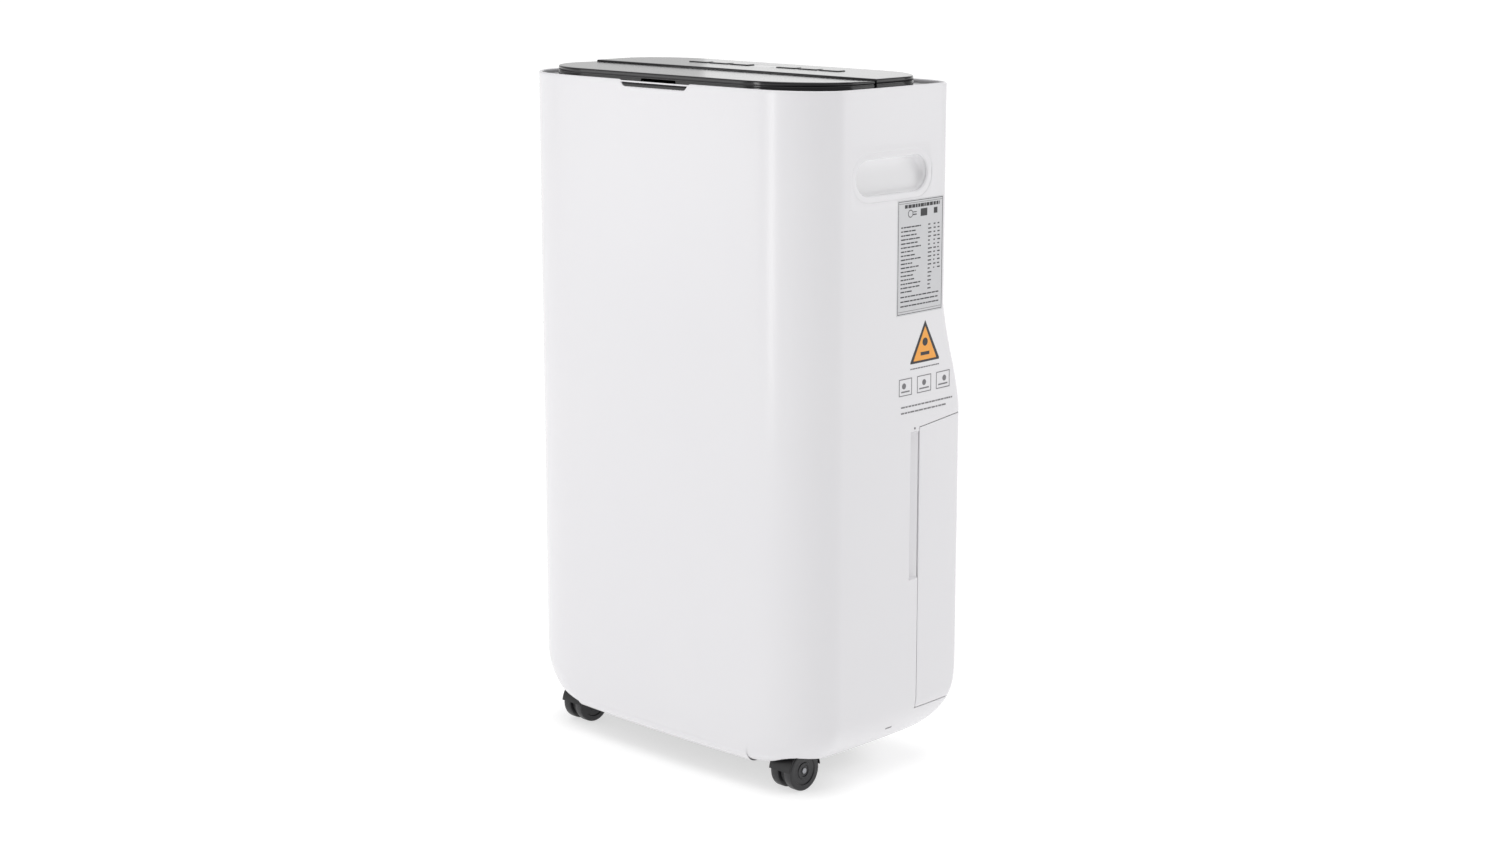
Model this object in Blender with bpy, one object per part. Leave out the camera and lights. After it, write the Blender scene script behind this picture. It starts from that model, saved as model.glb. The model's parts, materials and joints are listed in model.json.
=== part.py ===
"""A free-standing room dehumidifier on four twin-wheel casters, with a water tank that slides out of its back."""
import math

import bmesh
import bpy
from mathutils import Matrix, Vector

# Driving dimensions, in metres. X is the width, -Y the front, +Z up, and z = 0 the floor.
HALF_WIDTH = 0.1848
FRONT_Y = -0.1069
UPPER_REAR_Y = 0.0835
REAR_Y = 0.1069
BASE_Z = 0.024
RIM_Z = 0.609
ISLAND_Z = 0.6152
WALL = 0.0026
GAP = 0.0003
PIPE_GAP = 0.0010

# Corner ellipses of the plan outline as (half axis along X, half axis along Y), and how far its sides bow.
FRONT_CORNER = (0.0615, 0.0416)
REAR_CORNER = (0.0401, 0.0182)
FRONT_BOW = 0.0044
SIDE_BOW = 0.0030

# Rounding radii of the lower edge, and the flare of the back above the tank.
SIDE_ROUND = 0.0474
FRONT_ROUND = 0.0119
REAR_ROUND = 0.0650
FLARE_TOP_Z = 0.419
FLARE_BOTTOM_Z = 0.324

# Water tank and its bay.
TANK_SEAM_Y = 0.0330
TANK_BOTTOM_SEAM_Z = 0.0586
TANK_TOP_SEAM_FRONT_Z = 0.3140
TANK_TOP_SEAM_REAR_Z = 0.3190
SEAM = 0.0008
TANK_HALF = 0.150
TANK_FRONT_Y = 0.0003
TANK_REAR_Y = 0.0925
TANK_Z = (0.0593, 0.270)
LINER_HALF = 0.155
LINER_Z = (0.056, 0.322)
LINER_FRONT_Y = -0.004
LINER_REAR_Y = 0.075

# Window and parts of the back panel.
PANEL_HALF = 0.150
PANEL_Z = (0.327, 0.598)
GRILLE_HALF = 0.132
GRILLE_Z = (0.432, 0.588)
DRAIN = (0.110, 0.338)
GLAND = (-0.110, 0.345)

# Handles: a round-ended slot in each side.
HANDLE_Y = (-0.0497, 0.0403)
HANDLE_Z = (0.520, 0.550)

# Deck, flap and control panel on top.
DECK_Z = (0.6040, 0.6065)
ISLAND_HALF = 0.173
ISLAND_Y = (-0.1007, 0.0670)
ISLAND_FRONT_CORNER = (0.0760, 0.0680)
ISLAND_REAR_CORNER = (0.0680, 0.0480)
FLAP_REAR_Y = -0.0166
PANEL_FRONT_Y = -0.0142
SKIN = 0.0023
ISLAND_WALL = 0.0020
FLAP_AXIS = (-0.0206, 0.6105)
FLAP_PIN_R = 0.0011
BUTTON_Y = 0.031
BUTTON_SIZE = (0.0230, 0.0100)
BUTTON_TOP_Z = 0.6160
BUTTON_XS = [side * 0.055 + step * 0.026 for side in (-1, 1) for step in (-1, 0, 1)]

# Casters: wheel centre, trail of the wheel ahead of its stem, and the pocket each one turns in.
WHEEL_R = 0.018
WHEEL_W = 0.009
WEB_HALF = 0.003
TRAIL = 0.004
HOOD_R = 0.0199
STEM_R = 0.0040
STEM_TOP_Z = 0.053
POCKET_R = 0.0268
POCKET_TOP_Z = 0.041
CASTER_STEMS = {
    "front_left": (-0.1355, -0.0670),
    "front_right": (0.1355, -0.0670),
    "rear_left": (-0.0840, 0.0360),
    "rear_right": (0.0840, 0.0360),
}

# Refrigeration parts and the fan.
COMPRESSOR = (-0.040, -0.051)
COMPRESSOR_R = 0.044
COMPRESSOR_Z = (0.042, 0.236)
COIL_HALF = 0.125
COIL_Z = (0.350, 0.596)
CONDENSER_Y = (-0.0120, 0.0170)
EVAPORATOR_Y = (0.0260, 0.0560)
FAN_HUB_Z = 0.452
FAN_R = 0.084
HOUSING_HALF = 0.128
HOUSING_Y = (-0.092, -0.018)
HOUSING_Z = (0.352, 0.602)
OUTLET_HALF = 0.122
OUTLET_Y = (-0.0895, -0.0205)

COLOURS = {
    "white_plastic": ((0.80, 0.80, 0.82), 0.35, 0.0),
    "grey_plastic": ((0.33, 0.33, 0.35), 0.30, 0.0),
    "black_plastic": ((0.05, 0.05, 0.055), 0.45, 0.0),
    "wheel_plastic": ((0.06, 0.06, 0.065), 0.50, 0.0),
    "smoke_plastic": ((0.55, 0.60, 0.64), 0.20, 0.0),
    "steel": ((0.55, 0.55, 0.56), 0.35, 1.0),
    "black_enamel": ((0.03, 0.03, 0.03), 0.40, 0.2),
    "copper": ((0.75, 0.40, 0.25), 0.30, 1.0),
    "fin_aluminium": ((0.75, 0.76, 0.78), 0.40, 1.0),
    "rubber": ((0.04, 0.04, 0.04), 0.80, 0.0),
    "circuit_board": ((0.05, 0.25, 0.10), 0.50, 0.0),
    "filter_mesh": ((0.20, 0.20, 0.22), 0.70, 0.0),
}


def clear_scene():
    for obj in list(bpy.data.objects):
        bpy.data.objects.remove(obj, do_unlink=True)


def material(name):
    found = bpy.data.materials.get(name)
    if found:
        return found
    colour, roughness, metallic = COLOURS[name]
    made = bpy.data.materials.new(name)
    made.use_nodes = True
    shader = made.node_tree.nodes["Principled BSDF"]
    shader.inputs["Base Color"].default_value = (*colour, 1.0)
    shader.inputs["Roughness"].default_value = roughness
    shader.inputs["Metallic"].default_value = metallic
    return made


def finish_mesh(name, bm, finish, smooth=False):
    """Turn a bmesh into an object with one material; a None finish makes it a cutter."""
    bmesh.ops.recalc_face_normals(bm, faces=bm.faces)
    mesh = bpy.data.meshes.new(name)
    bm.to_mesh(mesh)
    bm.free()
    obj = bpy.data.objects.new(name, mesh)
    bpy.context.collection.objects.link(obj)
    if finish is None:
        obj.hide_render = True
        obj.display_type = "WIRE"
    else:
        mesh.materials.append(material(finish))
    if smooth:
        mesh.shade_smooth()
        mesh.set_sharp_from_angle(angle=math.radians(35))
    return obj


def loft(name, loops, finish=None, closed=False, smooth=False):
    """Bridge loops of equal length; cap both ends, or join the last loop to the first when closed."""
    bm = bmesh.new()
    rings = [[bm.verts.new(point) for point in loop] for loop in loops]
    count = len(rings[0])
    pairs = list(zip(rings, rings[1:]))
    if closed:
        pairs.append((rings[-1], rings[0]))
    for low, high in pairs:
        for i in range(count):
            j = (i + 1) % count
            bm.faces.new((low[i], low[j], high[j], high[i]))
    if not closed:
        bm.faces.new(rings[0])
        bm.faces.new(rings[-1])
    return finish_mesh(name, bm, finish, smooth)


def box(name, low, high, finish=None, bevel=0.0):
    """An axis-aligned block between two corners, with its edges bevelled when asked."""
    bm = bmesh.new()
    centre = (Vector(low) + Vector(high)) / 2
    size = Vector(high) - Vector(low)
    bmesh.ops.create_cube(bm, size=1.0, matrix=Matrix.Translation(centre) @ Matrix.Diagonal((*size, 1.0)))
    if bevel:
        bmesh.ops.bevel(bm, geom=bm.edges[:], offset=bevel, segments=1, affect="EDGES")
    return finish_mesh(name, bm, finish)


def turned(name, profile, centre, axis, finish=None, sides=24, closed=True):
    """Turn a profile of (radius, height) pairs about an axis; a closed profile makes a ring, an open one is capped."""
    turn = {"X": (1, 2, 0), "Y": (2, 0, 1), "Z": (0, 1, 2)}[axis]
    loops = []
    for radius, height in profile:
        loop = []
        for k in range(sides):
            angle = 2 * math.pi * k / sides
            flat = (radius * math.cos(angle), radius * math.sin(angle), height)
            point = [0.0, 0.0, 0.0]
            for value, place in zip(flat, turn):
                point[place] = value
            loop.append(Vector(point) + Vector(centre))
        loops.append(loop)
    return loft(name, loops, finish, closed=closed, smooth=True)


def rod(name, radius, start, length, axis, finish=None, sides=24):
    """A plain cylinder that starts at a point and runs along an axis."""
    return turned(name, [(radius, 0.0), (radius, length)], start, axis, finish, sides, closed=False)


def pipe(name, points, radius, finish, sides=8, steps=5):
    """Carry a circle along a smooth curve through the points, keeping its frame from twisting."""
    path = []
    for i in range(len(points) - 1):
        p0 = Vector(points[max(i - 1, 0)])
        p1, p2 = Vector(points[i]), Vector(points[i + 1])
        p3 = Vector(points[min(i + 2, len(points) - 1)])
        for k in range(steps):
            t = k / steps
            path.append(0.5 * (2 * p1 + (p2 - p0) * t + (2 * p0 - 5 * p1 + 4 * p2 - p3) * t ** 2
                               + (3 * p1 - p0 - 3 * p2 + p3) * t ** 3))
    path.append(Vector(points[-1]))
    tangents = [(path[min(i + 1, len(path) - 1)] - path[max(i - 1, 0)]).normalized() for i in range(len(path))]
    side = tangents[0].orthogonal().normalized()
    loops = []
    for place, tangent in zip(path, tangents):
        side = (side - tangent * side.dot(tangent)).normalized()
        up = tangent.cross(side)
        loops.append([place + radius * (math.cos(a) * side + math.sin(a) * up)
                      for a in (2 * math.pi * k / sides for k in range(sides))])
    return loft(name, loops, finish, smooth=True)


def combine(obj, other, operation):
    """Apply a Boolean with the exact solver and drop the other object."""
    modifier = obj.modifiers.new(operation.title(), "BOOLEAN")
    modifier.operation = operation
    modifier.solver = "EXACT"
    modifier.object = other
    depsgraph = bpy.context.evaluated_depsgraph_get()
    result = bpy.data.meshes.new_from_object(obj.evaluated_get(depsgraph))
    obj.modifiers.clear()
    finish = obj.data.materials[0] if obj.data.materials else None
    obj.data = result
    result.materials.clear()
    if finish:
        result.materials.append(finish)
    result.name = obj.name
    bpy.data.objects.remove(other, do_unlink=True)
    return obj


def cut(obj, *cutters):
    for cutter in cutters:
        combine(obj, cutter, "DIFFERENCE")
    return obj


def union(obj, *others):
    for other in others:
        combine(obj, other, "UNION")
    return obj


def crop(obj, keeper):
    return combine(obj, keeper, "INTERSECT")


def pivot(name, place, *children):
    """An empty on a joint's axis that carries the moving pieces."""
    empty = bpy.data.objects.new(name, None)
    empty.location = place
    empty.empty_display_size = 0.01
    bpy.context.collection.objects.link(empty)
    bpy.context.view_layer.update()
    for child in children:
        child.parent = empty
        child.matrix_parent_inverse = empty.matrix_world.inverted()
    return empty


def outline(half_x, front_y, rear_y, front_corner, rear_corner, front_bow=0.0, side_bow=0.0, per_corner=5):
    """A rectangle with elliptic corners whose sides bow outwards, as (x, y) points run anticlockwise."""
    corners = (
        (half_x - front_corner[0], front_y + front_corner[1], -90, front_corner),
        (half_x - rear_corner[0], rear_y - rear_corner[1], 0, rear_corner),
        (-half_x + rear_corner[0], rear_y - rear_corner[1], 90, rear_corner),
        (-half_x + front_corner[0], front_y + front_corner[1], 180, front_corner),
    )
    points = []
    for cx, cy, start, radii in corners:
        for k in range(per_corner + 1):
            angle = math.radians(start + 90 * k / per_corner)
            points.append((cx + radii[0] * math.cos(angle), cy + radii[1] * math.sin(angle)))
    along = []
    for i, (x0, y0) in enumerate(points):
        x1, y1 = points[(i + 1) % len(points)]
        parts = 4 if math.hypot(x1 - x0, y1 - y0) > 0.05 else 1
        along += [(x0 + (x1 - x0) * k / parts, y0 + (y1 - y0) * k / parts) for k in range(parts)]
    mid_y, half_y = (front_y + rear_y) / 2, (rear_y - front_y) / 2
    bowed = []
    for x, y in along:
        u, v = x / half_x, (y - mid_y) / half_y
        bowed.append((x - side_bow * v * v * u, y - front_bow * u * u * v))
    return bowed


def rear_at(z):
    """The back's depth at a height: straight above the flare, then a smooth step out to the tank."""
    if z >= FLARE_TOP_Z:
        return UPPER_REAR_Y
    if z <= FLARE_BOTTOM_Z:
        return REAR_Y
    t = (FLARE_TOP_Z - z) / (FLARE_TOP_Z - FLARE_BOTTOM_Z)
    ease = 0.5 * t + 0.5 * t * t * (3 - 2 * t)
    return UPPER_REAR_Y + (REAR_Y - UPPER_REAR_Y) * ease


def round_inset(radius, z, skin):
    """How far a lower edge of this radius pulls a section in at height z, on a skin that lies inside by skin."""
    rise = z - BASE_Z
    if rise >= radius:
        return skin
    return radius - math.sqrt(max((radius - skin) ** 2 - (radius - rise) ** 2, 0.0))


def body_section(z, skin=0.0):
    """The body's outline at height z, offset inwards by skin, as 3D points."""
    side = round_inset(SIDE_ROUND, z, skin)
    front = round_inset(FRONT_ROUND, z, skin)
    rear = round_inset(REAR_ROUND, z, skin)
    ring = outline(
        HALF_WIDTH - side, FRONT_Y + front, rear_at(z) - rear,
        (FRONT_CORNER[0] - skin, FRONT_CORNER[1] - skin), (REAR_CORNER[0] - skin, REAR_CORNER[1] - skin),
        FRONT_BOW, SIDE_BOW,
    )
    return [(x, y, z) for x, y in ring]


def body_heights(low):
    rounding = [low, low + 0.0012, low + 0.004, low + 0.008, 0.036, 0.046, 0.058, BASE_Z + SIDE_ROUND, 0.089]
    flare = [FLARE_BOTTOM_Z + (FLARE_TOP_Z - FLARE_BOTTOM_Z) * k / 4 for k in range(5)]
    return rounding + flare


def body_ring(name, finish=None):
    """The body's wall: the outer skin upwards and the inner skin back down, joined at the rim and the base."""
    outer = [body_section(z) for z in body_heights(BASE_Z) + [RIM_Z]]
    inner = [body_section(z, WALL) for z in body_heights(BASE_Z + WALL) + [RIM_Z]]
    return loft(name, outer + inner[::-1], finish, closed=True, smooth=True)


def body_inside(name):
    """The space within the wall, kept a gap away from it."""
    skin = WALL + GAP
    loops = [body_section(z, skin) for z in body_heights(BASE_Z + skin) + [RIM_Z]]
    return loft(name, loops)


def tank_notch(name, grow=0.0):
    """A prism behind the tank's seam, whose top rises towards the back."""
    front, rear = TANK_SEAM_Y - grow, 0.130
    low = TANK_BOTTOM_SEAM_Z - grow
    slope = (TANK_TOP_SEAM_REAR_Z - TANK_TOP_SEAM_FRONT_Z) / (0.087 - TANK_SEAM_Y)
    high_front = TANK_TOP_SEAM_FRONT_Z + grow
    high_rear = high_front + slope * (rear - front)
    side = [(front, low), (rear, low), (rear, high_rear), (front, high_front)]
    return loft(name, [[(x, y, z) for y, z in side] for x in (-0.25, 0.25)])


def slot_loop(x, low_y, high_y, low_z, high_z, grow=0.0, lean=0.0, arc=8):
    """A round-ended slot outline in a plane of constant x; lean tips the plane inwards towards the top."""
    radius = (high_z - low_z) / 2 + grow
    mid_z = (low_z + high_z) / 2
    centre_low, centre_high = low_y + radius - grow, high_y - radius + grow
    points = []
    for centre, start in ((centre_high, -90), (centre_low, 90)):
        for k in range(arc + 1):
            angle = math.radians(start + 180 * k / arc)
            z = mid_z + radius * math.sin(angle)
            points.append((x - math.copysign(lean, x) * (z - mid_z) / radius, centre + radius * math.cos(angle), z))
    return points


def window_cutter(name, half_x, low_y, high_y, low_z, high_z):
    return box(name, (-half_x, low_y, low_z), (half_x, high_y, high_z))


def make_body():
    shell = body_ring("outer_shell", "white_plastic")
    cut(shell, tank_notch("tank_opening"))
    cut(shell, window_cutter("back_window", PANEL_HALF + GAP, 0.060, 0.120, PANEL_Z[0] - GAP, PANEL_Z[1] + GAP))
    for side in (-1, 1):
        loops = [slot_loop(side * x, *HANDLE_Y, *HANDLE_Z) for x in (0.176, 0.190)]
        cut(shell, loft("handle_slot", loops))
        groove_x = sorted((side * 0.1830, side * 0.1900))
        cut(shell, box("finger_groove", (groove_x[0], 0.0215, 0.179), (groove_x[1], 0.0345, 0.311)))
    notch = [[(-0.0430, y, 0.6120), (0.0430, y, 0.6120), (0.0430, y, RIM_Z), (0.0375, y, 0.6035),
              (-0.0375, y, 0.6035), (-0.0430, y, RIM_Z)] for y in (-0.115, -0.098)]
    cut(shell, loft("rim_notch", notch))
    for x, y in CASTER_STEMS.values():
        cut(shell, rod("caster_pocket", POCKET_R, (x, y, 0.015), POCKET_TOP_Z - 0.015, "Z"))
    return shell


def make_rear_panel():
    panel = body_ring("rear_panel", "white_plastic")
    crop(panel, box("panel_keep", (-PANEL_HALF, 0.060, PANEL_Z[0]), (PANEL_HALF, 0.120, PANEL_Z[1])))
    cut(panel, window_cutter("grille_window", GRILLE_HALF, 0.060, 0.120, *GRILLE_Z))
    for (x, z), radius in ((DRAIN, 0.0060), (GLAND, 0.0066)):
        cut(panel, rod("port", radius, (x, 0.070, z), 0.045, "Y"))
    return panel


def make_base_pan():
    """The floor plate with four pockets that the casters turn in, each under a socket for its stem."""
    plate = [[(x, y, z) for x, y in outline(HALF_WIDTH - SIDE_ROUND - GAP, FRONT_Y + FRONT_ROUND + GAP,
                                            REAR_Y - REAR_ROUND - GAP, FRONT_CORNER, REAR_CORNER,
                                            FRONT_BOW, SIDE_BOW)] for z in (BASE_Z, BASE_Z + 0.0036)]
    pan = loft("base_pan", plate, "black_plastic")
    for x, y in CASTER_STEMS.values():
        cup = rod("cup", POCKET_R + 0.0022, (x, y, BASE_Z + 0.003), 0.0165, "Z")
        cup = crop(cup, body_inside("inside"))
        union(pan, cup, rod("socket", 0.0080, (x, y, 0.042), 0.013, "Z", sides=12))
        cut(pan, rod("pocket", POCKET_R, (x, y, 0.015), POCKET_TOP_Z - 0.015, "Z"))
        cut(pan, rod("stem_bore", STEM_R + 0.0001, (x, y, 0.030), STEM_TOP_Z + 0.0006 - 0.030, "Z", sides=12))
    return pan


def make_tank_bay():
    liner = box("tank_bay_liner", (-LINER_HALF, LINER_FRONT_Y, LINER_Z[0]), (LINER_HALF, LINER_REAR_Y, LINER_Z[1]),
                "black_plastic")
    cut(liner, box("bay", (-LINER_HALF + 0.0025, LINER_FRONT_Y + 0.0025, 0.0590),
                   (LINER_HALF - 0.0025, 0.120, LINER_Z[1] - 0.0025)))
    cut(liner, rod("water_hole", 0.0070, (0.0, 0.020, 0.300), 0.040, "Z"))
    return liner


def make_tank():
    """The bucket, its lid, the cover that shows from outside, the folding handle and the float."""
    low, high = TANK_Z
    bucket = box("water_tank", (-TANK_HALF, TANK_FRONT_Y, low), (TANK_HALF, TANK_REAR_Y, high), "smoke_plastic")
    cut(bucket, box("hollow", (-TANK_HALF + 0.0025, TANK_FRONT_Y + 0.0025, low + 0.0025),
                    (TANK_HALF - 0.0025, TANK_REAR_Y - 0.0025, high + 0.010)))
    union(bucket, rod("guide", 0.0030, (0.110, 0.025, low + 0.001), 0.060, "Z", sides=16))

    lid = box("tank_lid", (-TANK_HALF, TANK_FRONT_Y, high + GAP), (TANK_HALF, TANK_REAR_Y, high + 0.0030),
              "white_plastic")
    for x in (-0.0655, 0.0585):
        union(lid, box("lug", (x, 0.040, high + 0.001), (x + 0.007, 0.052, high + 0.014)))
    cut(lid, rod("inlet", 0.0110, (0.0, 0.020, high - 0.010), 0.030, "Z"))
    cut(lid, rod("handle_bore", 0.0021, (-0.080, 0.046, high + 0.008), 0.160, "X", sides=16))

    cover = body_ring("tank_cover", "white_plastic")
    crop(cover, tank_notch("cover_keep", -SEAM))

    axis_z = high + 0.008
    arms = [(0.0540, 0.046, axis_z), (0.0540, 0.060, axis_z), (0.0500, 0.073, axis_z), (0.0380, 0.077, axis_z),
            (-0.0380, 0.077, axis_z), (-0.0500, 0.073, axis_z), (-0.0540, 0.060, axis_z), (-0.0540, 0.046, axis_z)]
    handle = pipe("tank_handle", arms, 0.0034, "grey_plastic", steps=2)
    union(handle, rod("pin_right", 0.0020, (0.0530, 0.046, axis_z), 0.0110, "X", sides=16))
    union(handle, rod("pin_left", 0.0020, (-0.0640, 0.046, axis_z), 0.0110, "X", sides=16))

    bob = turned("tank_float", [(0.0034, 0.0), (0.0150, 0.0), (0.0150, 0.0220), (0.0034, 0.0220)],
                 (0.110, 0.025, low + 0.0030), "Z", "white_plastic", sides=20)
    pivot("tank_pivot", (0.0, TANK_SEAM_Y, TANK_Z[0]), bucket, lid, cover)
    pivot("tank_handle_pivot", (0.0, 0.046, axis_z), handle)
    pivot("tank_float_pivot", (0.110, 0.025, low), bob)


def make_handle_cups():
    """A pocket behind each slot whose floor slants inwards towards the top, as a lip for the fingers."""
    for side, name in ((-1, "handle_cup_left"), (1, "handle_cup_right")):
        outside = [slot_loop(side * x, *HANDLE_Y, *HANDLE_Z, grow=0.0025) for x in (0.1640, 0.1805)]
        cup = loft(name, outside, "white_plastic")
        hollow = [slot_loop(side * 0.1720, *HANDLE_Y, *HANDLE_Z, grow=0.0002, lean=0.0040),
                  slot_loop(side * 0.1900, *HANDLE_Y, *HANDLE_Z, grow=0.0002)]
        cut(cup, loft("hollow", hollow))


def make_filter():
    """The grille that covers the intake, with slats, and the fine mesh behind it; both pull off backwards."""
    edge = GAP
    low_z, high_z = GRILLE_Z[0] + edge, GRILLE_Z[1] - edge
    half = GRILLE_HALF - edge
    frame = box("filter_frame", (-half, 0.0770, low_z), (half, 0.0810, high_z), "white_plastic")
    rows, border = 12, 0.010
    pitch = (high_z - low_z - 2 * border + 0.004) / rows
    for row in range(rows):
        z = low_z + border + row * pitch
        cut(frame, box("slot", (-half + border, 0.070, z), (-0.002, 0.090, z + pitch - 0.004)))
        cut(frame, box("slot", (0.002, 0.070, z), (half - border, 0.090, z + pitch - 0.004)))
    mesh = box("filter_mesh", (-half, 0.0757, low_z), (half, 0.0767, high_z), "filter_mesh")
    pivot("filter_pivot", (0.0, 0.0790, (low_z + high_z) / 2), frame, mesh)


def island_outline(inset):
    return outline(ISLAND_HALF - inset, ISLAND_Y[0] + inset, ISLAND_Y[1] - inset,
                   [r - inset for r in ISLAND_FRONT_CORNER], [r - inset for r in ISLAND_REAR_CORNER],
                   per_corner=8)


def island_cup(name, finish):
    """The whole raised island as one lid, open below."""
    floor = DECK_Z[1] + GAP
    loops = [(ISLAND_WALL, ISLAND_Z - SKIN), (ISLAND_WALL, floor), (0.0, floor), (0.0, ISLAND_Z)]
    return loft(name, [[(x, y, z) for x, y in island_outline(inset)] for inset, z in loops], finish, smooth=True)


def hinge_relief(name):
    """What the flap's lower rear corner gives up so that it turns clear of the deck: all outside a round on the axis."""
    axis_y, axis_z = FLAP_AXIS
    reach = axis_z - DECK_Z[1] - GAP
    side = [(reach * math.sin(a), -reach * math.cos(a)) for a in (math.radians(15 * k) for k in range(7))]
    side += [(0.0050, 0.0022), (0.0070, 0.0022), (0.0070, -0.0060), (0.0, -0.0060)]
    return loft(name, [[(x, axis_y + y, axis_z + z) for y, z in side] for x in (-0.2, 0.2)])


def make_top():
    """The deck under the rim, the raised outlet flap on its hinge and the control panel with six buttons."""
    skin = WALL + GAP
    deck = loft("top_deck", [body_section(z, skin) for z in DECK_Z], "grey_plastic")
    lip = [[(-0.0401, y, DECK_Z[1]), (0.0401, y, DECK_Z[1]), (0.0378, y, 0.6042), (-0.0378, y, 0.6042)]
           for y in (-0.1066, -0.1000)]
    union(deck, loft("lip", lip))
    cut(deck, box("outlet", (-OUTLET_HALF, OUTLET_Y[0], 0.600), (OUTLET_HALF, OUTLET_Y[1], 0.610)))
    axis_y, axis_z = FLAP_AXIS
    for side in (-1, 1):
        low_x, high_x = sorted((side * 0.160, side * 0.165))
        union(deck, box("post", (low_x, axis_y - 0.0021, DECK_Z[1] - 0.001), (high_x, axis_y + 0.0021, axis_z)))
        union(deck, rod("post_top", 0.00208, (low_x, axis_y, axis_z), high_x - low_x, "X", sides=16))
        cut(deck, rod("bore", FLAP_PIN_R + 0.0001, (low_x - 0.001, axis_y, axis_z), 0.007, "X", sides=16))

    flap = island_cup("outlet_flap", "grey_plastic")
    cut(flap, box("behind", (-0.2, FLAP_REAR_Y, 0.600), (0.2, 0.1, 0.620)), hinge_relief("relief"))
    cut(flap, box("finger_gap", (-0.0215, -0.110, 0.600), (0.0215, -0.095, 0.6105)))
    pins = []
    for side, name in ((-1, "flap_pin_left"), (1, "flap_pin_right")):
        low_x, high_x = sorted((side * 0.1662, side * 0.1712))
        union(flap, box("boss", (low_x, axis_y - 0.0026, axis_z - 0.0024),
                        (high_x, axis_y + 0.0026, ISLAND_Z - 0.001)))
        cut(flap, rod("boss_bore", FLAP_PIN_R + 0.00005, (min(side * 0.1580, side * 0.1705), axis_y, axis_z),
                      0.0125, "X", sides=16))
        pins.append(rod(name, FLAP_PIN_R, (min(side * 0.1590, side * 0.1702), axis_y, axis_z), 0.0112, "X",
                        "steel", sides=16))
    pivot("flap_pivot", (0.0, axis_y, axis_z), flap, *pins)

    panel = island_cup("control_panel", "grey_plastic")
    cut(panel, box("before", (-0.2, -0.2, 0.600), (0.2, PANEL_FRONT_Y, 0.620)))
    union(panel, box("front_wall", (-0.1715, PANEL_FRONT_Y, DECK_Z[1] + GAP),
                     (0.1715, PANEL_FRONT_Y + 0.002, ISLAND_Z - 0.001)))
    half_x, half_y = (size / 2 for size in BUTTON_SIZE)
    for number, x in enumerate(BUTTON_XS, start=1):
        hole = GAP
        cut(panel, box("button_hole", (x - half_x - hole, BUTTON_Y - half_y - hole, 0.605),
                       (x + half_x + hole, BUTTON_Y + half_y + hole, 0.620)))
        make_button(f"button_{number}", x, half_x, half_y)


def make_button(name, x, half_x, half_y):
    """A key cap over a wider flange that holds it under the panel."""
    levels = ((0.0010, 0.6105), (0.0010, 0.6118), (0.0, 0.6118), (0.0, BUTTON_TOP_Z - 0.0006), (-0.0006, BUTTON_TOP_Z))
    loops = []
    for grow, z in levels:
        a, b = half_x + grow, half_y + grow
        loops.append([(x - a, BUTTON_Y - b, z), (x + a, BUTTON_Y - b, z), (x + a, BUTTON_Y + b, z),
                      (x - a, BUTTON_Y + b, z)])
    pivot(f"{name}_pivot", (x, BUTTON_Y, BUTTON_TOP_Z), loft(name, loops, "black_plastic"))


def make_casters():
    for place, (x, stem_y) in CASTER_STEMS.items():
        y, z = stem_y - TRAIL, WHEEL_R
        half = WEB_HALF + GAP + WHEEL_W
        fork = rod(f"caster_{place}_fork", HOOD_R, (x - half, y, z), 2 * half, "X", "black_plastic", sides=24)
        for side in (-1, 1):
            start = min(side * WEB_HALF, side * (half + 0.001))
            cut(fork, rod("wheel_room", WHEEL_R + 0.0007, (x + start, y, z), half + 0.001 - WEB_HALF, "X"))
        cut(fork, box("below", (x - 0.03, y - 0.03, -0.01), (x + 0.03, y + 0.03, z + 0.002)))
        union(fork, rod("web", 0.0150, (x - WEB_HALF, y, z), 2 * WEB_HALF, "X", sides=20))
        union(fork, rod("stem", STEM_R, (x, stem_y, z + 0.0172), STEM_TOP_Z - z - 0.0172, "Z", sides=12))
        cut(fork, rod("axle_bore", 0.0026, (x - 0.01, y, z), 0.02, "X", sides=16))
        axle = rod(f"caster_{place}_axle", 0.0025, (x - half + 0.0005, y, z), 2 * half - 0.001, "X", "steel", 16)
        pivot(f"caster_{place}_swivel", (x, stem_y, STEM_TOP_Z), fork, axle)
        for side, name in ((-1, "left"), (1, "right")):
            start = x + min(side * (WEB_HALF + GAP), side * half)
            profile = [(0.0026, 0.0), (WHEEL_R - 0.001, 0.0), (WHEEL_R, 0.001), (WHEEL_R, WHEEL_W - 0.001),
                       (WHEEL_R - 0.001, WHEEL_W), (0.0026, WHEEL_W)]
            wheel = turned(f"caster_{place}_wheel_{name}", profile, (start, y, z), "X", "wheel_plastic", sides=16)
            pivot(f"caster_{place}_spin_{name}", (x, y, z), wheel)


def make_coil(name, front_y, rear_y):
    """A tube frame round a thin core, which stands for the fins and tubes and weighs about what they do."""
    frame, core = 0.0030, 0.0040
    coil = box(name, (-COIL_HALF, front_y, COIL_Z[0]), (COIL_HALF, rear_y, COIL_Z[1]), "fin_aluminium")
    mid_y = (front_y + rear_y) / 2
    for low_y, high_y in ((front_y - 0.010, mid_y - core / 2), (mid_y + core / 2, rear_y + 0.010)):
        cut(coil, box("recess", (-COIL_HALF + frame, low_y, COIL_Z[0] + frame),
                      (COIL_HALF - frame, high_y, COIL_Z[1] - frame)))


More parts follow.
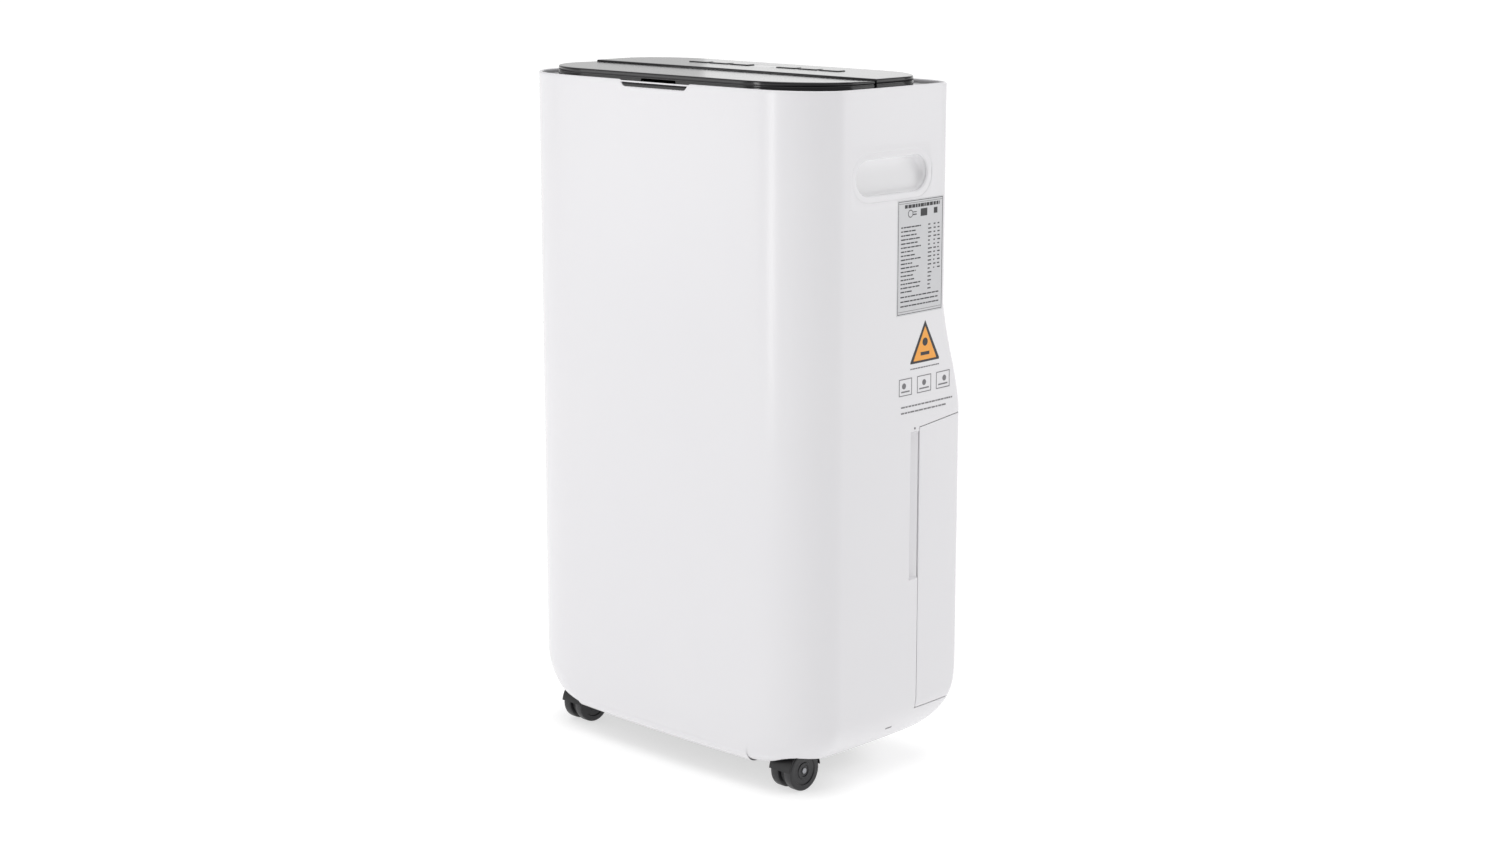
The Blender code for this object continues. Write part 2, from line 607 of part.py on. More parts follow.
def make_refrigeration():
    """Compressor on three grommets, its accumulator, the two coils, the pipes and the tray that drains the coils."""
    cx, cy = COMPRESSOR
    low, high = COMPRESSOR_Z
    r = COMPRESSOR_R
    profile = [(r, low), (r, low + 0.003), (r - 0.012, low + 0.006), (r - 0.004, low + 0.016), (r - 0.003, high - 0.03),
               (r - 0.010, high - 0.012), (r - 0.022, high - 0.004), (0.010, high)]
    compressor = turned("compressor", profile, (cx, cy, 0.0), "Z", "black_enamel", sides=24, closed=False)
    cut(compressor, rod("inner_bore", 0.027, (cx, cy, low - 0.010), high - low - 0.012, "Z", sides=16))
    for number in range(3):
        angle = math.radians(90 + 120 * number)
        place = (cx + 0.034 * math.cos(angle), cy + 0.034 * math.sin(angle), BASE_Z + 0.0036 + GAP)
        rod(f"compressor_grommet_{number + 1}", 0.0080, place, low - 0.0003 - place[2], "Z", "rubber", sides=16)
    tank = turned("accumulator", [(0.004, 0.098), (0.014, 0.112), (0.014, 0.212), (0.006, 0.226)],
                  (0.026, -0.060, 0.0), "Z", "black_enamel", sides=20, closed=False)
    union(tank, pipe("inlet", [(0.026, -0.060, 0.102), (0.026, -0.060, 0.084), (0.0205, -0.0588, 0.0760),
                               (0.0090, -0.0575, 0.0740), (0.0020, -0.0565, 0.0740)], 0.0030, "black_enamel", steps=2))

    make_coil("condenser_coil", *CONDENSER_Y)
    make_coil("evaporator_coil", *EVAPORATOR_Y)
    top = high + GAP
    pipe("discharge_line", [(cx, cy, top), (cx, cy, 0.262), (-0.060, cy, 0.286), (-0.120, -0.048, 0.300),
                            (-0.148, -0.040, 0.330), (-0.150, -0.034, 0.400), (-0.150, -0.020, 0.520),
                            (-0.150, -0.004, 0.562), (-0.140, 0.003, 0.572), (-COIL_HALF - PIPE_GAP, 0.003, 0.572)],
         0.0032, "copper", steps=3)
    pipe("suction_line", [(0.026, -0.060, 0.2265), (0.026, -0.060, 0.262), (0.046, -0.058, 0.286),
                          (0.118, -0.050, 0.300), (0.148, -0.036, 0.330), (0.152, -0.010, 0.400),
                          (0.152, 0.020, 0.520), (0.150, 0.038, 0.562), (0.140, 0.041, 0.572),
                          (COIL_HALF + PIPE_GAP, 0.041, 0.572)],
         0.0048, "copper", steps=3)
    pipe("capillary_tube", [(-COIL_HALF - PIPE_GAP, 0.004, 0.372), (-0.134, 0.004, 0.372), (-0.140, 0.010, 0.376),
                            (-0.141, 0.022, 0.384), (-0.140, 0.034, 0.376), (-0.134, 0.041, 0.372),
                            (-COIL_HALF - PIPE_GAP, 0.041, 0.372)], 0.0014, "copper", sides=6, steps=3)

    tray = box("drip_tray", (-0.127, -0.016, 0.325), (0.127, 0.062, 0.3485), "white_plastic")
    union(tray, rod("spigot", 0.0055, (DRAIN[0], 0.060, DRAIN[1]), 0.0455, "Y", sides=20))
    cut(tray, box("trough", (-0.1245, -0.0135, 0.3275), (0.1245, 0.0595, 0.360)))
    cut(tray, rod("spigot_bore", 0.0038, (DRAIN[0], 0.055, DRAIN[1]), 0.060, "Y", sides=20))
    cut(tray, rod("spout", 0.0060, (0.0, 0.020, 0.320), 0.020, "Z"))
    rod("drain_plug", 0.0036, (DRAIN[0], 0.082, DRAIN[1]), 0.0215, "Y", "rubber", sides=20)


def make_fan():
    """A centrifugal wheel on its motor inside a scroll housing that opens upwards."""
    low_y, high_y = HOUSING_Y
    housing = box("fan_housing", (-HOUSING_HALF, low_y, HOUSING_Z[0]), (HOUSING_HALF, high_y, HOUSING_Z[1]),
                  "black_plastic")
    depth = OUTLET_Y[1] - OUTLET_Y[0]
    cut(housing, rod("scroll", 0.091, (0.0, OUTLET_Y[0], FAN_HUB_Z), depth, "Y", sides=28))
    duct = [[(-a, OUTLET_Y[0], z), (a, OUTLET_Y[0], z), (a, OUTLET_Y[1], z), (-a, OUTLET_Y[1], z)]
            for a, z in ((0.088, FAN_HUB_Z), (OUTLET_HALF, 0.590), (OUTLET_HALF, 0.610))]
    cut(housing, loft("duct", duct))
    cut(housing, rod("inlet", 0.068, (0.0, -0.030, FAN_HUB_Z), 0.020, "Y", sides=28))
    turned("fan_motor", [(0.036, 0.0), (0.038, 0.002), (0.038, 0.030), (0.030, 0.034), (0.0031, 0.034), (0.0031, 0.046)],
           (0.0, OUTLET_Y[0] + GAP, FAN_HUB_Z), "Y", "steel", sides=24, closed=False)
    start = -0.0860
    wheel = turned("fan_wheel", [(0.0032, 0.0340), (0.0080, 0.0340), (0.0080, 0.0370), (0.0700, 0.0370), (0.0700, 0.0),
                                 (FAN_R, 0.0), (FAN_R, 0.0520), (0.0700, 0.0520), (0.0700, 0.0400),
                                 (0.0080, 0.0400), (0.0080, 0.0440), (0.0032, 0.0440)],
                   (0.0, start, FAN_HUB_Z), "Y", "black_plastic", sides=24)
    pivot("fan_pivot", (0.0, start, FAN_HUB_Z), wheel)


def make_electrics():
    box("control_box", (0.062, -0.090, 0.075), (0.134, -0.020, 0.190), "white_plastic", bevel=0.002)
    rod("run_capacitor", 0.0160, (0.098, -0.056, 0.1903), 0.060, "Z", "white_plastic", sides=20)
    box("display_board", (-0.095, 0.008, 0.6068), (0.095, 0.054, 0.6084), "circuit_board")
    box("tank_switch", (0.098, -0.0160, 0.076), (0.122, -0.0043, 0.088), "black_plastic")
    turned("cord_gland", [(0.0034, 0.0), (0.0063, 0.0), (0.0063, 0.0173), (0.0100, 0.0173), (0.0100, 0.0193),
                          (0.0034, 0.0193)], (GLAND[0], 0.0870, GLAND[1]), "Y", "rubber", sides=20)


def main():
    clear_scene()
    make_body()
    make_rear_panel()
    make_base_pan()
    make_tank_bay()
    make_tank()
    make_handle_cups()
    make_filter()
    make_top()
    make_casters()
    make_refrigeration()
    make_fan()
    make_electrics()


main()
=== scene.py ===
import json
import math

import bmesh
import bpy
import numpy as np
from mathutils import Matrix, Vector


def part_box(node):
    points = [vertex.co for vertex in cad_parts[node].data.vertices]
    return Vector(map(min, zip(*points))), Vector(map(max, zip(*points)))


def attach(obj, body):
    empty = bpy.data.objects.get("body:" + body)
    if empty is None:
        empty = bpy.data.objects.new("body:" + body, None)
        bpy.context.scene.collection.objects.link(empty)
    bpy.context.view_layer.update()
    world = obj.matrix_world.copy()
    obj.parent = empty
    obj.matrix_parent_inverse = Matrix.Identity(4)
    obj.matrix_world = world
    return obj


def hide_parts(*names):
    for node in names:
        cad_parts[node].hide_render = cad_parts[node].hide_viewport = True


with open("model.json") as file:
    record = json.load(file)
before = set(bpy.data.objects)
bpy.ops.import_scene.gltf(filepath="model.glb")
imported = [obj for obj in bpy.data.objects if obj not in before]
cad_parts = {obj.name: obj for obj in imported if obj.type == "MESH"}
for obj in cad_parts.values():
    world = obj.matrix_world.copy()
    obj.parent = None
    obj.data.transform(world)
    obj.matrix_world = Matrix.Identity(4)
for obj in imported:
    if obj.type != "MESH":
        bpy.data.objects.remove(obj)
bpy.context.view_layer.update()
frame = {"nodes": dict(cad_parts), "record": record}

scene = bpy.context.scene
mm = 0.001


# sRGB hex to linear: c/12.92 below 0.04045, else ((c + 0.055) / 1.055) to the power 2.4
def paint(hexColour):
    srgb = np.array([int(hexColour[i:i + 2], 16) for i in (1, 3, 5)]) / 255.0
    linear = np.where(srgb <= 0.04045, srgb / 12.92, ((srgb + 0.055) / 1.055) ** 2.4)
    return (*linear.tolist(), 1.0)


# one node with its settings; an input that is a socket gets a link
def addNode(tree, kind, inputs=None, **settings):
    node = tree.nodes.new(kind)
    for key, value in settings.items():
        setattr(node, key, value)
    for key, value in (inputs or {}).items():
        if isinstance(value, bpy.types.NodeSocket):
            tree.links.new(value, node.inputs[key])
        else:
            node.inputs[key].default_value = value
    return node


# an empty finish: its material, tree, shader and the piece's own coordinates
def startFinish(name, constants):
    finish = bpy.data.materials.new(name)
    finish.use_nodes = True
    tree = finish.node_tree
    shader = tree.nodes["Principled BSDF"]
    for key, value in constants.items():
        shader.inputs[key].default_value = value
    where = addNode(tree, "ShaderNodeTexCoord").outputs["Object"]
    return finish, tree, shader, where


# A moulded or painted skin: two close tones in slow clouds, a fine grain in the bump and a little in the gloss.
def mouldedFinish(name, tones, roughness, cloudMm, grainMm, bumpMm, constants):
    finish, tree, shader, where = startFinish(name, constants)
    clouds = addNode(tree, "ShaderNodeTexNoise", {"Vector": where, "Scale": 1000 / cloudMm, "Detail": 2.0})
    ramp = addNode(tree, "ShaderNodeMix", {"Factor": clouds.outputs["Fac"]}, data_type="RGBA")
    ramp.inputs[6].default_value, ramp.inputs[7].default_value = paint(tones[0]), paint(tones[1])
    grain = addNode(tree, "ShaderNodeTexNoise", {"Vector": where, "Scale": 1000 / grainMm, "Detail": 3.0})
    gloss = addNode(tree, "ShaderNodeMapRange", {"Value": grain.outputs["Fac"], "From Min": 0.3, "From Max": 0.7,
                                                 "To Min": roughness[0], "To Max": roughness[1]})
    bump = addNode(tree, "ShaderNodeBump", {"Height": grain.outputs["Fac"], "Strength": 0.5,
                                            "Distance": bumpMm * mm})
    tree.links.new(ramp.outputs[2], shader.inputs["Base Color"])
    tree.links.new(gloss.outputs["Result"], shader.inputs["Roughness"])
    tree.links.new(bump.outputs["Normal"], shader.inputs["Normal"])
    return finish


# A metal with marks drawn out along one axis: noise squeezed along that axis drives the gloss and a faint bump.
def drawnMetal(name, tones, roughness, stretch, lineMm, bumpMm):
    finish, tree, shader, where = startFinish(name, {"Metallic": 1.0})
    place = addNode(tree, "ShaderNodeMapping", {"Vector": where, "Scale": stretch})
    lines = addNode(tree, "ShaderNodeTexNoise", {"Vector": place.outputs["Vector"], "Scale": 1000 / lineMm,
                                                 "Detail": 4.0})
    tone = addNode(tree, "ShaderNodeMix", {"Factor": lines.outputs["Fac"]}, data_type="RGBA")
    tone.inputs[6].default_value, tone.inputs[7].default_value = paint(tones[0]), paint(tones[1])
    gloss = addNode(tree, "ShaderNodeMapRange", {"Value": lines.outputs["Fac"], "To Min": roughness[0],
                                                 "To Max": roughness[1]})
    bump = addNode(tree, "ShaderNodeBump", {"Height": lines.outputs["Fac"], "Strength": 0.4,
                                            "Distance": bumpMm * mm})
    tree.links.new(tone.outputs[2], shader.inputs["Base Color"])
    tree.links.new(gloss.outputs["Result"], shader.inputs["Roughness"])
    tree.links.new(bump.outputs["Normal"], shader.inputs["Normal"])
    return finish


# satin moulded ABS: a smooth cool white skin with a soft wide highlight
whiteAbs = mouldedFinish("satinWhiteAbs", ("#E2E1E4", "#E5E4E6"), (0.22, 0.25), 160, 1.4, 0.004,
                         {"IOR": 1.5, "Specular IOR Level": 0.45})
# the same plastic inside the handle pockets, painted brighter as painted light that lifts the recess's shade, with a
# blunter texture
pocketAbsPaintedLight = mouldedFinish("pocketWhiteAbsPaintedLight", ("#EFEEF0", "#F1F1F2"), (0.40, 0.46), 160, 1.4, 0.010, {"IOR": 1.5})
# polished ABS of the deck and flap: near black, mirrors the room at a low angle
greyAbs = mouldedFinish("glossGraphiteAbs", ("#161518", "#19181B"), (0.12, 0.14), 120, 1.2, 0.0006,
                        {"IOR": 1.47, "Specular IOR Level": 0.5})
# spark-eroded polypropylene: dull black with a visible fine grain
blackPoly = mouldedFinish("grainedBlackPolypropylene", ("#141416", "#1B1B1D"), (0.42, 0.55), 30, 0.8, 0.05,
                          {"IOR": 1.49})
# hard nylon wheels: black, a little worn to grey on the tread
wheelNylon = mouldedFinish("wornBlackNylon", ("#17171A", "#232326"), (0.30, 0.46), 9, 0.7, 0.03, {"IOR": 1.53})
# matt moulded rubber: swallows light
mattRubber = mouldedFinish("mattMouldedRubber", ("#101011", "#171718"), (0.75, 0.85), 12, 0.5, 0.04, {"IOR": 1.5})
# enamelled steel can: black paint with a slight orange peel
blackEnamel = mouldedFinish("blackEnamelledSteel", ("#0E0F10", "#141516"), (0.22, 0.30), 40, 2.2, 0.04,
                            {"IOR": 1.5, "Coat Weight": 0.3, "Coat Roughness": 0.1})
# smoke-tinted polypropylene of the bucket: cloudy, lets some light through
smokePoly = mouldedFinish("smokeTintedPolypropylene", ("#9FA8AE", "#B4BCC1"), (0.26, 0.34), 50, 1.6, 0.02,
                          {"IOR": 1.49, "Transmission Weight": 0.45})
# inks and films of the stickers
inkBlack = mouldedFinish("screenPrintedBlackInk", ("#2A292C", "#333236"), (0.45, 0.55), 5, 0.4, 0.004, {"IOR": 1.5})
inkGrey = mouldedFinish("screenPrintedGreyInk", ("#6E6D70", "#7A797C"), (0.45, 0.55), 5, 0.4, 0.004, {"IOR": 1.5})
inkOrange = mouldedFinish("screenPrintedOrangeInk", ("#F0A03A", "#F3A844"), (0.38, 0.46), 8, 0.5, 0.004, {"IOR": 1.5})
labelFilm = mouldedFinish("silverPolyesterFilm", ("#C3C3C6", "#CBCBCD"), (0.30, 0.40), 14, 0.6, 0.006,
                          {"IOR": 1.5, "Metallic": 0.15})
smokedLens = mouldedFinish("smokedAcrylicLens", ("#0C0C0F", "#101014"), (0.05, 0.08), 30, 3.0, 0.002, {"IOR": 1.49})
# zinc-plated steel, drawn copper tube and bare pressed aluminium
zincSteel = drawnMetal("zincPlatedSteel", ("#8E8F92", "#A3A4A8"), (0.28, 0.42), (1.0, 6.0, 6.0), 3.0, 0.01)
drawnCopper = drawnMetal("drawnCopperTube", ("#A9623F", "#C27A54"), (0.24, 0.38), (5.0, 5.0, 1.0), 4.0, 0.01)
finMetal = drawnMetal("pressedAluminiumFin", ("#B9BBBE", "#CDCFD1"), (0.30, 0.45), (1.0, 6.0, 1.0), 2.0, 0.01)


# woven nylon dust mesh: two crossed sets of threads, 1.6 mm apart as it needs to show (the real pitch is near 0.8)
def wovenMesh():
    finish, tree, shader, where = startFinish("wovenNylonMesh", {"Roughness": 0.7, "IOR": 1.53})
    threads = [addNode(tree, "ShaderNodeTexWave", {"Vector": where, "Scale": 1000 / 1.6 / 6.28 * 2},
                       bands_direction=axis) for axis in ("X", "Z")]
    both = addNode(tree, "ShaderNodeMath", {0: threads[0].outputs["Fac"], 1: threads[1].outputs["Fac"]},
                   operation="MAXIMUM")
    tone = addNode(tree, "ShaderNodeMix", {"Factor": both.outputs["Value"]}, data_type="RGBA")
    tone.inputs[6].default_value, tone.inputs[7].default_value = paint("#08080A"), paint("#4A4B50")
    bump = addNode(tree, "ShaderNodeBump", {"Height": both.outputs["Value"], "Strength": 0.6, "Distance": 0.2 * mm})
    tree.links.new(tone.outputs[2], shader.inputs["Base Color"])
    tree.links.new(bump.outputs["Normal"], shader.inputs["Normal"])
    return finish


# solder mask over copper tracks: green with paler tracks 1.2 mm apart
def solderMask():
    finish, tree, shader, where = startFinish("greenSolderMask", {"Roughness": 0.35, "IOR": 1.5})
    cells = addNode(tree, "ShaderNodeTexBrick", {"Vector": where, "Scale": 1000 / 4.0,
                                                 "Color1": paint("#0E4A26"), "Color2": paint("#0B3D1F"),
                                                 "Mortar": paint("#2B7A47"), "Mortar Size": 0.06})
    tree.links.new(cells.outputs["Color"], shader.inputs["Base Color"])
    return finish


filterWeave = wovenMesh()
boardGreen = solderMask()
slotFinish = {
    "white_plastic": whiteAbs, "grey_plastic": greyAbs, "black_plastic": blackPoly, "wheel_plastic": wheelNylon,
    "smoke_plastic": smokePoly, "steel": zincSteel, "black_enamel": blackEnamel, "copper": drawnCopper,
    "fin_aluminium": finMetal, "rubber": mattRubber, "circuit_board": boardGreen, "filter_mesh": filterWeave,
}
for part in frame["record"]["subparts"]:
    carried = frame["nodes"][part["node"]]
    carried.data.materials.clear()
    carried.data.materials.append(slotFinish[part["material_slot"]])
print("materials made:", len(bpy.data.materials))


# Puts points and faces into a mesh, merges doubles, points the faces outwards and rides it on its body.
def addPiece(name, points, faces, slot, body, stands=(), finish=None, sharpDeg=35.0, mergeAt=0.003 * mm):
    mesh = bpy.data.meshes.new(name)
    mesh.from_pydata(np.asarray(points).reshape(-1, 3).tolist(), [], faces)
    bm = bmesh.new()
    bm.from_mesh(mesh)
    bmesh.ops.delete(bm, geom=[v for v in bm.verts if not v.link_faces], context="VERTS")
    bmesh.ops.remove_doubles(bm, verts=bm.verts, dist=mergeAt)
    bmesh.ops.recalc_face_normals(bm, faces=bm.faces)
    bm.to_mesh(mesh)
    bm.free()
    mesh.materials.append(finish or slotFinish[slot])
    mesh.shade_smooth()
    mesh.set_sharp_from_angle(angle=math.radians(sharpDeg))
    piece = bpy.data.objects.new(name, mesh)
    scene.collection.objects.link(piece)
    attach(piece, body)
    if stands:
        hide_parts(*stands)
    return piece


# Faces of a grid of points: cell (r, s) joins rows r, r+1 and stations s, s+1; a closed side wraps round.
def gridCells(rows, stations, wrapRows=False, wrapStations=True, start=0):
    r = np.arange(rows if wrapRows else rows - 1)[:, None]
    s = np.arange(stations if wrapStations else stations - 1)[None, :]
    up, side = (r + 1) % rows, (s + 1) % stations
    cells = np.stack([r * stations + s, r * stations + side, up * stations + side, up * stations + s], -1)
    return (cells.reshape(-1, 4) + start).tolist()


# A solid from rings of equal length: bridged in order, then capped flat or joined last to first.
def ringSolid(rings, capped=True, wrapStations=True, start=0):
    rings = np.asarray(rings, float)
    rows, stations = rings.shape[:2]
    faces = gridCells(rows, stations, wrapRows=not capped, wrapStations=wrapStations, start=start)
    if capped:
        faces += [(np.arange(stations) + start).tolist(),
                  (np.arange(stations) + (rows - 1) * stations + start).tolist()]
    return rings.reshape(-1, 3), faces


# Several solids as one mesh: their points stacked, their faces counted on.
def joinSolids(solids):
    counts = np.cumsum([0] + [len(points) for points, _ in solids])
    faces = [[i + int(base) for i in face] for (_, group), base in zip(solids, counts) for face in group]
    return np.concatenate([points for points, _ in solids]), faces


axisOrder = {"X": (2, 0, 1), "Y": (1, 2, 0), "Z": (0, 1, 2)}  # where (across, across, along) go in x, y, z


# A turned ring: each (radius, height) of the profile sweeps from one angle to another about the axis.
def turnedSolid(profile, centre, axis, sides=64, closed=True, sweep=(0.0, 360.0)):
    profile = np.asarray(profile, float)
    whole = abs(sweep[1] - sweep[0]) >= 360.0
    angles = np.radians(np.linspace(sweep[0], sweep[1], sides, endpoint=not whole))
    r, h = profile[:, :1], profile[:, 1:]
    flat = np.stack([r * np.cos(angles), r * np.sin(angles), h + 0 * angles], -1)
    rings = flat[..., list(axisOrder[axis])] + np.asarray(centre, float)
    if whole:
        return ringSolid(rings, capped=not closed)
    points, faces = ringSolid(np.swapaxes(rings, 0, 1))
    return points, faces


# A tube: a circle carried along a Catmull-Rom curve through the points, in a frame that doesn't twist.
def tubeSolid(points, radius, sides=20, steps=8):
    p = np.asarray(points, float)
    q = np.concatenate([p[:1], p, p[-1:]])
    t = (np.arange(steps) / steps)[None, :, None]
    a, b, c, d = (q[i:len(q) - 3 + i, None] for i in range(4))
    curve = 0.5 * (2 * b + (c - a) * t + (2 * a - 5 * b + 4 * c - d) * t ** 2 + (3 * b - a - 3 * c + d) * t ** 3)
    path = np.concatenate([curve.reshape(-1, 3), p[-1:]])
    along = np.gradient(path, axis=0)
    along /= np.linalg.norm(along, axis=1, keepdims=True)
    side = np.cross(along[0], (0.31, 0.52, 0.79))
    frames = []
    for direction in along:  # one frame per step of the path
        side = side - direction * side.dot(direction)
        side = side / np.linalg.norm(side)
        frames.append((side, np.cross(direction, side)))
    frames = np.array(frames)
    turn = np.linspace(0, 2 * np.pi, sides, endpoint=False)[None, :, None]
    return ringSolid(path[:, None] + radius * (np.cos(turn) * frames[:, :1] + np.sin(turn) * frames[:, 1:]))


# Many boxes at once from their lowest and highest corners.
def boxSolids(low, high):
    low, high = np.atleast_2d(low).astype(float), np.atleast_2d(high).astype(float)
    pick = np.array([[i >> 2 & 1, i >> 1 & 1, i & 1] for i in range(8)])
    points = np.where(pick[None], high[:, None], low[:, None]).reshape(-1, 3)
    sides = np.array([(0, 1, 3, 2), (4, 6, 7, 5), (0, 4, 5, 1), (2, 3, 7, 6), (0, 2, 6, 4), (1, 5, 7, 3)])
    faces = (sides[None] + 8 * np.arange(len(low))[:, None, None]).reshape(-1, 4)
    return points, faces.tolist()


# A rounded rectangle in the plane of two axes, anticlockwise, corner by corner.
def roundedRectangle(lowX, highX, lowY, highY, radiusX, radiusY=None, steps=8):
    radiusY = radiusX if radiusY is None else radiusY
    angles = np.radians(np.concatenate([np.linspace(a, a + 90, steps + 1) for a in (-90, 0, 90, 180)]))
    centreX = np.repeat([highX - radiusX, highX - radiusX, lowX + radiusX, lowX + radiusX], steps + 1)
    centreY = np.repeat([lowY + radiusY, highY - radiusY, highY - radiusY, lowY + radiusY], steps + 1)
    return np.stack([centreX + radiusX * np.cos(angles), centreY + radiusY * np.sin(angles)], -1)


def atHeight(outline, z):
    return np.concatenate([outline, np.full((len(outline), 1), z)], 1)


# Cuts solids out of a piece and takes the result as its mesh.
def carve(piece, *solids):
    for points, faces in solids:
        mesh = bpy.data.meshes.new("cutter")
        mesh.from_pydata(np.asarray(points).reshape(-1, 3).tolist(), [], faces)
        bm = bmesh.new()
        bm.from_mesh(mesh)
        bmesh.ops.remove_doubles(bm, verts=bm.verts, dist=0.001 * mm)
        bmesh.ops.recalc_face_normals(bm, faces=bm.faces)
        bm.to_mesh(mesh)
        bm.free()
        cutter = bpy.data.objects.new("cutter", mesh)
        scene.collection.objects.link(cutter)
        modifier = piece.modifiers.new("carve", "BOOLEAN")
        modifier.operation, modifier.solver, modifier.object = "DIFFERENCE", "EXACT", cutter
        modifier.use_hole_tolerant = True  # the shell has faulty edges, on which the plain exact cut goes wrong
        made = bpy.data.meshes.new_from_object(piece.evaluated_get(bpy.context.evaluated_depsgraph_get()))
        piece.modifiers.clear()
        old, piece.data = piece.data, made
        finish = old.materials[0]
        bpy.data.meshes.remove(old)
        made.name = piece.name
        made.materials.clear()
        made.materials.append(finish)
        bpy.data.objects.remove(cutter)
        bpy.data.meshes.remove(mesh)
    piece.data.shade_smooth()
    piece.data.set_sharp_from_angle(angle=math.radians(35))


studio = {"cameraAt": (1.5949, -1.6175, 0.7751), "lookAt": (0.0117, -0.0003, 0.3092), "lens": 61.39,
          "shiftY": -0.0083, "world": 0.42, "overhead": 1.90, "floorHalf": 60.0,
          "tableGlow": 0.62}


def makeStudio():
    camera = bpy.data.objects.new("camera", bpy.data.cameras.new("camera"))
    scene.collection.objects.link(camera)
    camera.location = studio["cameraAt"]
    aim = np.array(studio["lookAt"]) - np.array(studio["cameraAt"])
    flat = math.hypot(aim[0], aim[1])
    camera.rotation_euler = (math.pi / 2 + math.atan2(aim[2], flat), 0.0, math.atan2(-aim[0], aim[1]))
    camera.data.lens, camera.data.sensor_width, camera.data.shift_y = studio["lens"], 36.0, studio["shiftY"]
    camera.data.clip_end = 200.0
    scene.camera = camera

    world = bpy.data.worlds.new("paleRoom")
    world.use_nodes = True
    world.node_tree.nodes["Background"].inputs["Color"].default_value = (1.0, 1.0, 1.0, 1.0)
    world.node_tree.nodes["Background"].inputs["Strength"].default_value = studio["world"]
    scene.world = world
    scene.view_settings.view_transform = "Standard"

    def addLight(name, kind, energy, place, target, **settings):
        light = bpy.data.objects.new(name, bpy.data.lights.new(name, kind))
        light.data.energy = energy
        for key, value in settings.items():
            setattr(light.data, key, value)
        scene.collection.objects.link(light)
        light.location = place
        light.visible_camera = False
        light.rotation_euler = (Vector(target) - Vector(place)).to_track_quat("-Z", "Y").to_euler()

    addLight("overhead", "SUN", studio["overhead"], (0.0, 0.0, 3.0), (0.0, 0.0, 0.0), angle=math.radians(60))
    addLight("frontBox", "AREA", 6.5, (-1.9, -2.0, 1.0), (0.0, -0.1, 0.35), shape="RECTANGLE", size=0.9, size_y=2.0)
    addLight("cornerStrip", "AREA", 4.2, (-0.45, -1.75, 0.56), (0.1, -0.1, 0.35), shape="RECTANGLE", size=0.22,
             size_y=1.1)
    addLight("sideBox", "AREA", 12.0, (2.2, 1.9, 1.1), (0.18, 0.0, 0.35), shape="RECTANGLE", size=1.6, size_y=1.8)
    addLight("rearCard", "AREA", 2.2, (-1.35, 2.3, 1.05), (0.1, 0.0, 0.6), shape="RECTANGLE", size=1.5, size_y=1.2)
    addLight("rearWide", "AREA", 4.2, (-1.5, 2.1, 1.05), (0.1, 0.0, 0.6), shape="RECTANGLE", size=3.0, size_y=1.2)

    half = studio["floorHalf"]
    mesh = bpy.data.meshes.new("floor")
    mesh.from_pydata([(-half, -half, 0), (half, -half, 0), (half, half, 0), (-half, half, 0)], [], [(0, 1, 2, 3)])
    floor = bpy.data.objects.new("floor", mesh)
    scene.collection.objects.link(floor)
    # a light table: over half of its white is its own glow, so shadows on it stay pale
    mesh.materials.append(mouldedFinish("glowingWhiteTable", ("#B6B6B6", "#B8B8B8"), (0.8, 0.9), 400, 40, 0.01,
                                        {"Specular IOR Level": 0.1, "Emission Color": (1.0, 1.0, 1.0, 1.0),
                                         "Emission Strength": studio["tableGlow"]}))


makeStudio()
print("studio ready")


cabinet = {  # all in mm
    "half": 184.8, "front": -106.9, "upperRear": 83.5, "lowerRear": 106.9, "low": 24.0, "rim": 609.0, "wall": 2.6,
    "frontCorner": (61.5, 41.6), "rearCorner": (40.1, 18.2), "frontBow": 4.4, "sideBow": 3.0,
    "sideRound": 47.4, "frontRound": 11.9, "rearRound": 65.0, "flare": (324.0, 419.0),
    "fullFrom": 100.0, "sideFixedFrom": 58.6,
    "seamY": 33.0, "seamGap": 0.55, "seamLow": 58.6, "seamHigh": 314.0, "seamRise": 0.0926,
    "window": (150.3, 326.7, 598.3), "panel": (150.0, 327.0, 598.0), "grille": (132.0, 432.0, 588.0),
    "rimRound": 1.3, "notchFloor": 603.5, "notchFlat": 36.5, "notchRamp": 7.5, "edgeEase": 0.2,
    "grooveY": 21.3, "grooveZ": (179.0, 311.0), "grooveDeep": 6.0,
    "patchY": (-58.0, 46.0), "patchZ": (508.0, 562.0),
}


# smooth step: 3t^2 - 2t^3 with t held between 0 and 1
def smoothStep(t):
    t = np.clip(t, 0.0, 1.0)
    return t * t * (3 - 2 * t)


# The back's depth at a height: level above the flare, then half straight and half smooth step out to the tank.
def rearAt(z):
    low, high = cabinet["flare"]
    t = np.clip((high - z) / (high - low), 0.0, 1.0)
    return cabinet["upperRear"] + (cabinet["lowerRear"] - cabinet["upperRear"]) * (0.5 * t + 0.5 * smoothStep(t))


# How far a lower edge rounded to this radius pulls in at height z: r - sqrt((r - skin)^2 - (r - rise)^2).
def roundInset(radius, z, skin):
    rise = z - cabinet["low"]
    curve = radius - np.sqrt(np.maximum((radius - skin) ** 2 - (radius - np.minimum(rise, radius)) ** 2, 0.0))
    return np.where(rise >= radius, skin, curve)


# The plan at a height and skin: half width, front, rear, middle and half depth.
def planAt(z, skin):
    half = cabinet["half"] - roundInset(cabinet["sideRound"], z, skin)
    front = cabinet["front"] + roundInset(cabinet["frontRound"], z, skin)
    rear = rearAt(z) - roundInset(cabinet["rearRound"], z, skin)
    return half, front, rear, (front + rear) / 2, (rear - front) / 2


